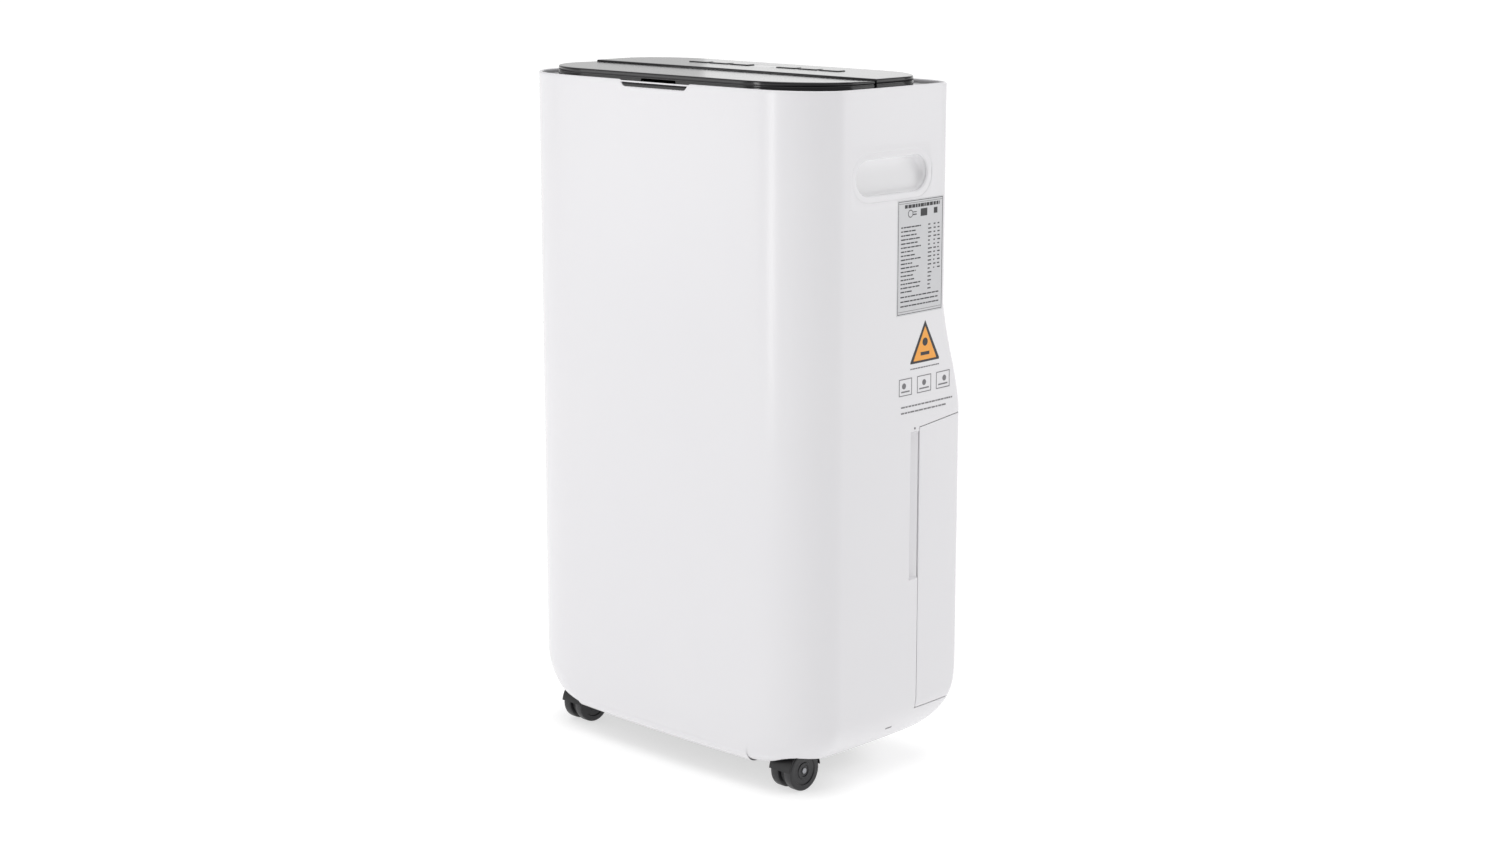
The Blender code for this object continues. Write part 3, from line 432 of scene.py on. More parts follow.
# Stations along the right half of the plan, from the front's middle to the back's: (kind, value) pairs.
def stationList():
    front = [0, 12, 24, 30, 34, 36, 37.5, 38.9, 40.3, 41.6, 43, 44.5, 50, 60, 72, 85, 98, 110]
    side = [-58 + 4 * k for k in range(20)]
    side += [20.2, 20.8, 21.3, 21.7, 22.1, 22.6, 24, 26, 28, 30, 31.4, 32.2, 33, 33.8, 34.6, 37, 40, 43, 46, 50, 54, 57]
    corner = [0, 6, 12, 18, 24, 30, 36, 42, 48, 54, 60, 66, 72]
    rear = [132.8, 132, 120, 105, 90, 75, 60, 45, 30, 15, 0]
    rows = [(0, v) for v in front] + [(1, v) for v in np.linspace(-90, 0, 19)] + [(2, v) for v in side]
    rows += [(3, v) for v in corner] + [(5, v) for v in (151.0, 150.3, 150.0, 149.3)] + [(3, 84), (3, 90)]
    return np.array(rows + [(4, v) for v in rear], float)


stations = stationList()
halfCount = len(stations)


# Points of the right half for arrays of heights (rows, stations) and skins. Each station is a point on the front,
# the front corner's ellipse, the side, the rear corner's ellipse or the back, and then the whole plan is bowed:
# x - sideBow v^2 u and y - frontBow u^2 v, with u and v the shares of half width and half depth.
def halfSkin(z, skin):
    kind, value = stations[:, 0][None, :], stations[:, 1][None, :]
    z, skin = np.broadcast_arrays(z, skin)
    half, front, rear, mid, deep = planAt(z, skin)
    (fa, fb), (ra, rb) = cabinet["frontCorner"], cabinet["rearCorner"]
    fa, fb, ra, rb = fa - skin, fb - skin, ra - skin, rb - skin
    turn = np.radians(value)
    straightX = value / (1 - cabinet["sideBow"] / half)

    def unbow(height, y):  # the side's y before the bow, where u = 1
        _, _, _, m, d = planAt(height, skin)
        return m + (y - m) / (1 - cabinet["frontBow"] / d)

    fixed = cabinet["sideFixedFrom"]
    _, f0, r0, _, _ = planAt(np.full_like(z, fixed), skin)
    share = (unbow(np.full_like(z, fixed), value) - f0 - fb) / (r0 - rb - f0 - fb)
    scaled = front + fb + share * (rear - rb - front - fb)
    sideY = np.where(z >= fixed, unbow(z, value), scaled)

    fullHalf, _, fullRear, fullMid, fullDeep = planAt(np.full_like(z, cabinet["fullFrom"]), skin)
    v = np.ones_like(z)
    for _ in range(4):  # the angle whose bowed x is the asked one
        cosine = np.clip((value / (1 - cabinet["sideBow"] * v * v / fullHalf) - fullHalf + ra) / ra, -1, 1)
        v = (fullRear - rb + rb * np.sqrt(1 - cosine ** 2) - fullMid) / fullDeep
    sine = np.sqrt(1 - cosine ** 2)

    x = np.select([kind == 0, kind == 1, kind == 2, kind == 3, kind == 4],
                  [straightX, half - fa + fa * np.cos(turn), half, half - ra + ra * np.cos(turn), straightX],
                  half - ra + ra * cosine)
    y = np.select([kind == 0, kind == 1, kind == 2, kind == 3, kind == 4],
                  [front, front + fb + fb * np.sin(turn), sideY, rear - rb + rb * np.sin(turn), rear],
                  rear - rb + rb * sine)
    u, v = x / half, (y - mid) / deep
    points = np.stack([x - cabinet["sideBow"] * v * v * u, y - cabinet["frontBow"] * u * u * v, z], -1)
    exact = (kind == 5) & (z > cabinet["fullFrom"])
    points[..., 0] = np.where(exact, value, points[..., 0])
    return points


# The whole ring: the right half, then its mirror run backwards without the two middle stations.
def wholeRing(values):
    return np.concatenate([values, values[:, -2:0:-1]], 1)


def fullSkin(z, skin):
    right = halfSkin(z, skin)
    return np.concatenate([right, (right * np.array([-1.0, 1.0, 1.0]))[:, -2:0:-1]], 1)


rowHeights = np.array(
    [24 + v for v in (0, 0.1, 0.4, 0.9, 1.6, 2.5, 3.6, 4.9, 6.3, 8, 9.8, 11.9, 13.9, 16.2, 18.5, 21, 23.7, 26.5, 29.3,
                      32, 33.8, 34.6, 35.4, 36.2, 38.5, 41.2, 44.2, 47.4, 52, 58, 65)]
    + [110, 132, 155, 170, 177.6, 178.4, 179, 179.5, 180, 180.6, 182, 195, 215, 235, 255, 275, 295, 306, 308.4, 309.4,
       310, 310.5, 311, 312.4, 313.2, 314, 314.8, 324, 326, 326.7, 327, 327.8]
    + [332 + 6 * k for k in range(15)] + [419, 425, 431.2, 432, 450, 470, 490, 500] + [508 + 3 * k for k in range(19)]
    + [568, 576, 588, 588.8, 597.2, 598, 598.3, 599, 600], float)
rimShares = np.array([0.33, 0.67, 1.0])
rimTurns = np.radians([22.5, 45.0, 67.5, 90.0])


# How deep the finger groove is at (y, z): a crisp step down at its front edge, then a ramp up to the tank's seam.
def grooveDepth(y, z):
    low, high = cabinet["grooveZ"]
    inwards = y - cabinet["grooveY"]
    across = smoothStep(inwards / 0.9) * (1 - 0.8 * np.clip((inwards - 1) / 10.7, 0, 1))
    return cabinet["grooveDeep"] * across * smoothStep((z - low + 0.7) / 1.6) * smoothStep((high - 0.1 - z) / 1.4)


# Both faces of the cabinet's wall on one grid: rows up to the rim, which dips in the notch, and a half-round edge.
def makeSkins():
    c = cabinet
    past = 999.0  # stands for every station beyond the bowed front, which the notch doesn't reach
    x = np.where(stations[:, 0] == 0, stations[:, 1], past)[None, :]
    rimHeight = c["notchFloor"] + (c["rim"] - c["notchFloor"]) * smoothStep((x - c["notchFlat"]) / c["notchRamp"])
    plain = np.repeat(rowHeights[:, None], halfCount, 1)
    lastRow = rowHeights[-1]
    climb = lastRow + (rimHeight - c["rimRound"] - lastRow) * rimShares[:, None]
    bend = rimHeight - c["rimRound"] + c["rimRound"] * np.sin(rimTurns)[:, None]
    z = np.concatenate([plain, climb, bend])
    nominal = np.concatenate([rowHeights, np.full(len(rimShares) + len(rimTurns), c["rim"]) + np.arange(7) * 0.1])
    skinOut = np.zeros_like(z)
    skinOut[-len(rimTurns):] = (c["rimRound"] - c["rimRound"] * np.cos(rimTurns))[:, None]
    skinIn = np.full_like(z, c["wall"])
    skinIn[-len(rimTurns):] = (c["rimRound"] + c["rimRound"] * np.cos(rimTurns))[:, None]
    zIn = z + c["wall"] * np.clip((57.0 - z) / 33.0, 0.0, 1.0)
    skins = []
    for heights, skin in ((z, skinOut), (zIn, skinIn)):
        points = halfSkin(heights, skin)
        seamRows = (nominal >= 312.0) & (nominal <= 315.0)
        rise = c["seamRise"] * np.maximum(points[..., 1] - c["seamY"], 0.0)
        points[seamRows, :, 2] += rise[seamRows]
        inShell = (stations[:, 0] == 2) & (stations[:, 1] <= c["seamY"])
        depth = grooveDepth(points[..., 1], points[..., 2]) * inShell[None, :]
        points[..., 0] -= depth
        skins.append(np.concatenate([points, (points * np.array([-1.0, 1.0, 1.0]))[:, -2:0:-1]], 1) * mm)
    return skins[0], skins[1], nominal


outerSkin, innerSkin, nominalZ = makeSkins()
rowCount, ringCount = outerSkin.shape[:2]
# where each station lies from front to back and across; the ends stand for all stations that only need to be beyond
frontEnd, backEnd, sideEnd = -100.0, 100.0, 170.0
stationDepth = np.select([stations[:, 0] <= 1, stations[:, 0] == 2], [frontEnd, stations[:, 1]], backEnd)[None, :]
stationAcross = np.where(stations[:, 0] >= 4, stations[:, 1], sideEnd)[None, :]
ringDepth, ringAcross = wholeRing(stationDepth)[0], wholeRing(stationAcross)[0]
cellZ = ((nominalZ[1:] + nominalZ[:-1]) / 2)[:, None]
cellDepth = ((ringDepth + np.roll(ringDepth, -1)) / 2)[None, :]
cellAcross = ((ringAcross + np.roll(ringAcross, -1)) / 2)[None, :]


# A wall from the kept cells: outer faces, inner faces, and a strip wherever a kept cell meets one that isn't.
# Outer points on such an edge sink by the ease, except where a patch carries the surface on.
def skinWall(keep, easeOff=None):
    ring = ringCount
    r, s = np.nonzero(keep)
    right = (s + 1) % ring
    base = rowCount * ring
    outer = np.stack([r * ring + s, r * ring + right, (r + 1) * ring + right, (r + 1) * ring + s], -1)
    padded = np.concatenate([np.zeros((1, ring), bool), keep, np.zeros((1, ring), bool)])
    r, s = np.nonzero(padded[1:] != padded[:-1])
    right = (s + 1) % ring
    level = np.stack([r * ring + s, r * ring + right, base + r * ring + right, base + r * ring + s], -1)
    r, s = np.nonzero(keep != np.roll(keep, 1, 1))
    upright = np.stack([r * ring + s, (r + 1) * ring + s, base + (r + 1) * ring + s, base + r * ring + s], -1)
    faces = np.concatenate([outer, outer[:, ::-1] + base, level, upright])
    touching = np.stack([padded[:-1], padded[1:], np.roll(padded[:-1], 1, 1), np.roll(padded[1:], 1, 1)])
    onEdge = touching.any(0) & ~touching.all(0)
    onEdge[-1] = onEdge[0] = False
    if easeOff is not None:
        onEdge &= ~easeOff
    share = cabinet["edgeEase"] / cabinet["wall"]
    eased = outerSkin + (innerSkin - outerSkin) * (share * onEdge)[..., None]
    return np.concatenate([eased.reshape(-1, 3), innerSkin.reshape(-1, 3)]), faces.tolist()


handle = {"y": (-49.7, 40.3), "z": (520.0, 550.0), "bezel": 0.5, "cupGrow": 0.2, "cupWall": 2.3, "cupMouth": 180.5,
          "floorLow": 177.5, "floorHigh": 171.5, "cupBack": 164.0}


# x of the right side at (y, z): half width less the rear corner's ellipse and the bow.
def sideX(y, z, skin=0.0):
    half, _, rear, mid, deep = planAt(z, skin)
    ra, rb = (r - skin for r in cabinet["rearCorner"])
    plainY = mid + (y - mid) / (1 - cabinet["frontBow"] / deep)
    past = np.clip((plainY - rear + rb) / rb, 0.0, 1.0)
    x = half - ra * (1 - np.sqrt(1 - past ** 2))
    v = (plainY - mid) / deep
    return x - cabinet["sideBow"] * v * v * x / half


# The wall round a handle slot: each point of the patch's edge runs straight to the nearest point of the slot, whose
# middle segment and radius give the direction. Rings at set distances from the slot carry the bezel and the fillet.
def handlePatch(side):
    h = handle
    ys = stations[(stations[:, 0] == 2) & (stations[:, 1] >= -58) & (stations[:, 1] <= 46)][:, 1]
    zs = rowHeights[(rowHeights >= 508) & (rowHeights <= 562)]
    edge = np.concatenate([np.stack([ys, np.full(len(ys), zs[0])], -1),
                           np.stack([np.full(len(zs), ys[-1]), zs], -1)[1:],
                           np.stack([ys, np.full(len(ys), zs[-1])], -1)[::-1][1:],
                           np.stack([np.full(len(zs), ys[0]), zs], -1)[::-1][1:-1]])
    radius, midZ = (h["z"][1] - h["z"][0]) / 2, (h["z"][0] + h["z"][1]) / 2
    core = np.stack([np.clip(edge[:, 0], h["y"][0] + radius, h["y"][1] - radius), np.full(len(edge), midZ)], -1)
    outward = edge - core
    reach = np.linalg.norm(outward, axis=1, keepdims=True)
    outward = outward / reach
    rings = []
    wall = cabinet["wall"]
    for offset, depth in ((None, 0.0), (6.6, 0.0), (6.2, 0.2), (5.8, h["bezel"]), (1.7, h["bezel"]), (1.2, 0.58),
                          (0.7, 0.85), (0.3, 1.3), (0.0, 2.0), (0.0, wall), (1.7, wall), (None, wall)):
        flat = edge if offset is None else core + outward * (radius + offset)
        x = sideX(flat[:, 0], flat[:, 1]) - depth
        rings.append(np.stack([side * x, flat[:, 0], flat[:, 1]], -1))
    rings = np.array(rings) * mm
    return rings.reshape(-1, 3), gridCells(rings.shape[0], rings.shape[1])


casterPlaces = ("front_left", "front_right", "rear_left", "rear_right")
casterSpec = {"trail": 4.0, "pocketR": 26.8, "pocketZ": (10.0, 41.0), "hoodR": 19.9, "hoodWall": 1.2,
              "hoodSweep": (6.0, 174.0), "web": (15.0, 2.7, 0.4), "neck": (2.7, 12.0, 6.0, 5.5),
              "collarR": 5.6, "stemR": 4.0, "stemTop": 53.0}


# The cabinet's wall with its handle slots, less a round pocket over each caster.
def makeShell():
    c = cabinet
    inPatch = (cellDepth > c["patchY"][0]) & (cellDepth < c["patchY"][1]) & (cellZ > c["patchZ"][0]) & (
        cellZ < c["patchZ"][1])
    inTank = (cellDepth > c["seamY"]) & (cellZ > c["seamLow"]) & (cellZ < c["seamHigh"])
    inWindow = (cellAcross < c["window"][0]) & (cellZ > c["window"][1]) & (cellZ < c["window"][2])
    patchPoint = ((ringDepth >= c["patchY"][0]) & (ringDepth <= c["patchY"][1]))[None, :] & (
        (nominalZ >= c["patchZ"][0]) & (nominalZ <= c["patchZ"][1]))[:, None]
    solids = [skinWall(~(inPatch | inTank | inWindow), patchPoint), handlePatch(1), handlePatch(-1)]
    shell = addPiece("cabinetShell", *joinSolids(solids), "white_plastic", "cabinet", ["outer_shell"],
                     mergeAt=0.02 * mm)
    pockets = []
    for place in casterPlaces:
        fork = [np.array(corner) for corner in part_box(f"caster_{place}_fork")]
        stem = (fork[0] + fork[1]) / 2 + np.array([0.0, casterSpec["trail"] * mm, 0.0])
        wall = [(casterSpec["pocketR"] * mm, height * mm) for height in casterSpec["pocketZ"]]
        pockets.append(turnedSolid(wall, (stem[0], stem[1], 0.0), "Z", 72, closed=False))
    carve(shell, *pockets)


# The tank's cover: the cells of the same skin behind and inside the seam.
def makeTankCover():
    c = cabinet
    keep = (cellDepth > c["seamY"] + c["seamGap"]) & (cellZ > c["seamLow"] + c["seamGap"]) & (
        cellZ < c["seamHigh"] - c["seamGap"])
    addPiece("tankCoverSkin", *skinWall(keep), "white_plastic", "tank", ["tank_cover"])


backPorts = {"drain": (110.0, 338.0, 6.0), "gland": (-110.0, 345.0, 6.6)}  # x, z and radius of each hole
portReach = (70.0, 115.0)


# The back panel: the skin's cells in its outline, less the grille's opening, with a hole for each port.
def makeBackPanel():
    (half, low, high), (grilleHalf, grilleLow, grilleHigh) = cabinet["panel"], cabinet["grille"]
    keep = (cellAcross < half) & (cellZ > low) & (cellZ < high)
    keep &= ~((cellAcross < grilleHalf) & (cellZ > grilleLow) & (cellZ < grilleHigh))
    panel = addPiece("backPanel", *skinWall(keep), "white_plastic", "cabinet", ["rear_panel"])
    carve(panel, *[turnedSolid([(r * mm, y * mm) for y in portReach], (x * mm, 0.0, z * mm), "Y", 48, closed=False)
                   for x, z, r in backPorts.values()])


makeShell()
makeTankCover()
makeBackPanel()
print("cabinet skin made")


# A rounded pocket behind each slot: the slot's outline swept inwards, its floor leaning in towards the top.
def makeCups():
    h = handle
    radius, midZ = (h["z"][1] - h["z"][0]) / 2, (h["z"][0] + h["z"][1]) / 2
    turn = np.radians(np.concatenate([np.linspace(-90, 90, 25), np.linspace(90, 270, 25)]))
    core = np.repeat([h["y"][1] - radius, h["y"][0] + radius], 25)

    def ring(grow, x):
        y, z = core + (radius + grow) * np.cos(turn), midZ + (radius + grow) * np.sin(turn)
        return np.stack([x(z) if callable(x) else np.full(50, x), y, z], -1)

    def floor(lift):
        return lambda z: lift + (h["floorLow"] + h["floorHigh"]) / 2 - (h["floorLow"] - h["floorHigh"]) * (
            z - midZ) / (2 * radius)

    grow = h["cupGrow"]
    rings = [ring(-radius * 0.999, floor(0.0)), ring(-9.0, floor(0.0)), ring(grow - 3.2, floor(0.0)),
             ring(grow - 1.9, floor(0.35)), ring(grow - 0.8, floor(1.1)), ring(grow - 0.2, floor(2.2)),
             ring(grow, floor(3.4)), ring(grow, h["cupMouth"] - 0.1), ring(grow + 0.1, h["cupMouth"]),
             ring(grow + h["cupWall"], h["cupMouth"]), ring(grow + h["cupWall"], h["cupBack"] + 1.0),
             ring(grow + h["cupWall"] - 1.0, h["cupBack"]), ring(-radius * 0.999, h["cupBack"])]
    for side, name in ((-1, "left"), (1, "right")):
        points, faces = ringSolid(np.array(rings) * np.array([side, 1.0, 1.0]) * mm)
        # painted light: the pockets take the plastic painted brighter, which lifts their own shade
        addPiece(f"handlePocket_{name}", points, faces, "white_plastic", "cabinet", [f"handle_cup_{name}"],
                 finish=pocketAbsPaintedLight, sharpDeg=50)


makeCups()


top = {"lipBack": 0.5, "lipRound": 1.6, "lipHalf": 43.2, "lipFrom": -99.5, "bridgeHalf": 43.6,
       "bridge": (606.95, 608.25, 2.2, 0.6), "deckLow": 604.0, "deck": 606.5, "deckSkin": 2.9, "deckEdge": 0.4,
       "outlet": (122.0, -89.5, -20.5),
       "half": 173.0, "y": (-100.7, 67.0), "frontCorner": (76.0, 68.0), "rearCorner": (68.0, 48.0),
       "floor": 606.8, "top": 615.2, "fall": (1.5, 611.4), "wall": 2.0, "ceiling": 612.9, "split": (-16.6, -14.2),
       "axis": (-20.6, 610.5), "relief": 3.7, "gapHalf": 21.5, "gapTop": 610.5, "gapRound": 1.5,
       "keyY": 31.0, "keySize": (23.0, 10.0), "keyXs": [s * 55 + k * 26 for s in (-1, 1) for k in (-1, 0, 1)]}
# outer side of the raised island, as inset and height: two bands with a groove between, and a rounded upper edge
islandSide = np.array([(0.35, 606.8), (0.0, 607.2), (0.0, 610.1), (0.15, 610.35), (0.9, 610.45), (0.9, 611.05),
                       (0.15, 611.15), (0.0, 611.4), (0.0, 613.9), (0.1, 614.4), (0.4, 614.85), (0.85, 615.1),
                       (1.4, 615.2)])


# Keyhole ring: a lug with a round top and a bore, extruded along x; its lower half reaches down to a flat foot.
def lugSolid(lowX, highX, half, down, bore, centre, upside=1.0):
    turn = np.linspace(0, 2 * np.pi, 48, endpoint=False)
    c, s = np.cos(turn), np.sin(turn)
    tiny = 1e-9
    boxed = np.minimum(half / np.maximum(np.abs(c), tiny), down / np.maximum(np.abs(s), tiny))
    reach = np.where(s >= 0, half, boxed)

    def ring(radius, x):
        return np.stack([np.full(48, x), centre[0] + radius * c, centre[1] + upside * radius * s], -1)

    return ringSolid(np.array([ring(bore, lowX), ring(reach, lowX), ring(reach, highX), ring(bore, highX)]) * mm,
                     capped=False)


# y of the bowed front at x: front + bow (x / half)^2.
def frontAt(x):
    return cabinet["front"] + cabinet["frontBow"] * (x / cabinet["half"]) ** 2


# The deck: rings from the air outlet's edge out to the cabinet's plan, with two hinge posts, the lip and the rim bar.
def makeDeck():
    t = top
    halfX, lowY, highY = t["outlet"]

    def outlineAt(z, skin):
        return fullSkin(np.full((1, halfCount), z), np.full((1, halfCount), skin))[0]

    rim = outlineAt(t["deck"], t["deckSkin"])

    def hole(z, grow):
        return np.stack([np.clip(rim[:, 0], -halfX - grow, halfX + grow),
                         np.clip(rim[:, 1], lowY - grow, highY + grow), np.full(len(rim), z)], -1)

    e = t["deckEdge"]
    rings = [hole(t["deckLow"], 0.0), hole(t["deck"] - e, 0.0), hole(t["deck"], e),
             outlineAt(t["deck"], t["deckSkin"] + e), outlineAt(t["deck"] - e, t["deckSkin"]),
             outlineAt(t["deckLow"], t["deckSkin"])]
    posts = [lugSolid(*sorted((side * 160.0, side * 165.0)), 2.1, 3.95, 1.25, t["axis"]) for side in (-1, 1)]
    addPiece("topDeck", *joinSolids([ringSolid(np.array(rings) * mm, capped=False), *posts]), "grey_plastic",
             "cabinet", ["top_deck"], sharpDeg=40)

    # the lip in the rim's notch: level with the deck, then a quarter ellipse down to the notch's floor at the front
    across, turn = np.meshgrid(np.linspace(-t["lipHalf"], t["lipHalf"], 61), np.linspace(-0.5, 1.0, 25))
    notch = smoothStep((np.abs(across) - cabinet["notchFlat"]) / cabinet["notchRamp"])
    frontY = frontAt(across) + t["lipBack"]
    down = np.clip(turn, 0.0, 1.0)
    start = t["lipFrom"]
    level = start + (frontY + t["lipRound"] - start) * (turn + 0.5) * 2
    y = np.where(turn < 0, level, frontY + t["lipRound"] * (1 - down))
    low = cabinet["notchFloor"] + 0.25 + (t["deck"] - cabinet["notchFloor"] - 0.6) * notch
    z = low + (t["deck"] + 0.02 - low) * np.sqrt(1 - down ** 2)
    upper = np.stack([across, y, z], -1)
    lower = upper.copy()
    lower[..., 2] = np.minimum(upper[..., 2] - 0.15, t["deck"] - 0.3)
    rows, cols = across.shape
    faces = gridCells(rows, cols, wrapStations=False) + gridCells(rows, cols, wrapStations=False, start=rows * cols)
    grid = np.arange(rows * cols).reshape(rows, cols)
    loop = np.concatenate([grid[0], grid[1:, -1], grid[-1, -2::-1], grid[-2:0:-1, 0]])
    after = np.roll(loop, -1)
    faces += np.stack([loop, after, after + rows * cols, loop + rows * cols], -1).tolist()
    addPiece("deckLip", np.concatenate([upper.reshape(-1, 3), lower.reshape(-1, 3)]) * mm, faces, "grey_plastic",
             "cabinet", sharpDeg=50)

    # the thin white bar that closes the notch at the rim: a rounded rectangle carried along the bowed front
    lowZ, highZ, thick, r = t["bridge"]
    x = np.linspace(-t["bridgeHalf"], t["bridgeHalf"], 41)
    profile = roundedRectangle(0.0, thick, lowZ, highZ, r, steps=5)
    rings = np.stack([np.broadcast_to(x[:, None], (len(x), len(profile))), frontAt(x)[:, None] + profile[None, :, 0],
                      np.broadcast_to(profile[None, :, 1], (len(x), len(profile)))], -1)
    points, faces = ringSolid(rings)
    addPiece("rimBridge", points * mm, faces, "white_plastic", "cabinet", sharpDeg=60)


# The island's outline, inset; arcs of ellipses join straight sides.
def islandOutline(inset, steps=20):
    t = top
    points = []
    for (ax, ay), hand, y, first in ((t["frontCorner"], 1, t["y"][0], -90), (t["rearCorner"], 1, t["y"][1], 0),
                                       (t["rearCorner"], -1, t["y"][1], 90), (t["frontCorner"], -1, t["y"][0], 180)):
        angle = np.radians(np.linspace(first, first + 90, steps + 1))
        sideY = 1 if y < 0 else -1
        points.append(np.stack([hand * (t["half"] - ax) + (ax - inset) * np.cos(angle),
                                y + sideY * ay + (ay - inset) * np.sin(angle)], -1))
    return points


# The flap: its side profile carried round a U from the rear right to the rear left, closed by flat faces. Heights
# can't fall below a floor that steps up over the finger gap and rounds the lower rear corners about the hinge.
def makeFlap():
    t = top
    rearY = t["split"][0]
    sideYs = np.array([-16.6, -16.75, -16.9, -17.1, -17.4, -17.9, -18.6, -19.5, -20.6, -21.5, -28])
    frontXs = np.array([90, 60, 35, 25, 21.55, 21.5, 21.35, 21.1, 20.6, 20.0, 18.0, 9.0])

    def outline(inset):
        frontRight, _, _, frontLeft = islandOutline(inset)
        rightX = np.full(len(sideYs), t["half"] - inset)
        y0 = t["y"][0] + inset
        right = np.concatenate([np.stack([rightX, sideYs], -1), frontRight[::-1],
                                np.stack([frontXs, np.full(len(frontXs), y0)], -1), [(0.0, y0)]])
        return np.concatenate([right, (right * np.array([-1.0, 1.0]))[-2::-1]])

    plan = outline(0.0)
    dy = np.clip(plan[:, 1] - t["axis"][0], 0.0, None)
    lowest = np.where(dy > 0, t["axis"][1] - np.sqrt(np.maximum(t["relief"] ** 2 - dy ** 2, 0.0)), t["floor"])
    lowest = np.where(dy > t["relief"], t["axis"][1] + (dy - t["relief"]) * 1.67, lowest)
    offX = np.abs(plan[:, 0])
    gapZ = t["gapTop"] - t["gapRound"] + np.sqrt(np.maximum(t["gapRound"] ** 2 - np.maximum(
        offX - t["gapHalf"] + t["gapRound"], 0.0) ** 2, 0.0))
    lowest = np.maximum(lowest, np.where((offX <= t["gapHalf"]) & (plan[:, 1] < -90), gapZ, 0.0))

    rings = []
    inner = outline(t["wall"])
    for z in (t["ceiling"], t["floor"]):
        rings.append(np.concatenate([inner, np.maximum(z, lowest)[:, None]], 1))
    for inset, z in islandSide:
        height = np.maximum(z, lowest)
        inset = np.interp(height, islandSide[:, 1], islandSide[:, 0])
        step = (outline(1.0) - outline(0.0)) * inset[:, None]
        rings.append(np.concatenate([plan + step, height[:, None]], 1))
    rings.append(np.concatenate([outline(4.0), np.full((len(plan), 1), t["top"])], 1))
    rings = np.array(rings)
    rings[:, [0, -1], 1] = rearY
    drop, above = t["fall"]  # the flap's top falls towards the hinge, so the panel's front edge stands a little proud
    back = (rings[..., 1] - t["y"][0]) / (rearY - t["y"][0])
    rings[..., 2] -= drop * back * np.clip((rings[..., 2] - above) / (t["top"] - above), 0.0, 1.0)
    count, n = rings.shape[:2]
    faces = gridCells(count, n, wrapStations=False)
    faces += [list(range(n)), list(range((count - 1) * n, count * n))]
    faces.append([r * n for r in range(count)] + [r * n + n - 1 for r in range(count - 1, -1, -1)])
    lugs = [lugSolid(*sorted((side * 166.2, side * 171.0)), 2.4, 2.45, 1.2, t["axis"], upside=-1.0)
            for side in (-1, 1)]
    addPiece("outletFlap", *joinSolids([(rings.reshape(-1, 3) * mm, faces), *lugs]), "grey_plastic", "flap",
             ["outlet_flap"], sharpDeg=40)


# The control panel: the same side profile round a closed outline with a straight front.
def makePanel():
    t = top
    frontY, r = t["split"][1], 0.6

    def outline(inset):
        _, rearRight, rearLeft, _ = islandOutline(inset)
        turn = np.radians(np.linspace(-90, 0, 5))
        x, y = t["half"] - r + (r - min(inset, 0.5)) * np.cos(turn), frontY + r + (r - min(inset, 0.5)) * np.sin(turn)
        x, y = x - max(inset - 0.5, 0.0), y + max(inset - 0.5, 0.0)
        right = np.concatenate([[(0.0, y[0])], np.stack([x, y], -1), rearRight])
        left = np.concatenate([rearLeft, (np.stack([x, y], -1) * np.array([-1.0, 1.0]))[::-1]])
        return np.concatenate([right, left])

    rings = [atHeight(outline(t["wall"]), z) for z in (t["ceiling"], t["floor"])]
    rings += [atHeight(outline(inset), z) for inset, z in islandSide]
    rings.append(atHeight(outline(4.0), t["top"]))
    panel = addPiece("controlPanel", *ringSolid(np.array(rings) * mm), "grey_plastic", "cabinet", ["control_panel"],
                     sharpDeg=40)
    halfX, halfY = (size / 2 + 0.3 for size in t["keySize"])
    holes = [ringSolid(np.array([atHeight(roundedRectangle(x - halfX, x + halfX, t["keyY"] - halfY, t["keyY"] + halfY,
                                                           1.5), z) for z in (611.0, 618.0)]) * mm)
             for x in t["keyXs"]]
    window = ringSolid(np.array([atHeight(roundedRectangle(-19.0, 19.0, 20.0, 40.0, 3.0), z)
                                 for z in (614.4, 618.0)]) * mm)
    carve(panel, *holes, window)
    lens = [atHeight(roundedRectangle(-18.8 + e, 18.8 - e, 20.2 + e, 39.8 - e, 2.8), z)
            for e, z in ((0.0, 614.45), (0.0, 615.05), (0.15, 615.18), (2.0, 615.19))]
    addPiece("displayLens", *ringSolid(np.array(lens) * mm), "grey_plastic", "cabinet", finish=smokedLens)


# Six touch keys: rounded caps with a small crown, each over a flange that holds it under the panel.
def makeKeys():
    t = top
    halfX, halfY = (size / 2 for size in t["keySize"])
    for number, x in enumerate(t["keyXs"], start=1):
        rings = []
        for grow, z in ((1.0, 610.5), (1.0, 611.8), (0.0, 611.8), (0.0, 615.35), (-0.12, 615.65), (-0.4, 615.85),
                        (-0.9, 615.93), (-2.5, 616.0)):
            a, b, corner = halfX + grow, halfY + grow, max(1.2 + grow, 0.4)
            rings.append(atHeight(roundedRectangle(x - a, x + a, t["keyY"] - b, t["keyY"] + b, corner), z))
        addPiece(f"touchKey_{number}", *ringSolid(np.array(rings) * mm), "black_plastic", f"key_{number}",
                 [f"button_{number}"], finish=greyAbs, sharpDeg=50)


makeDeck()
makeFlap()
makePanel()
makeKeys()
print("top made")


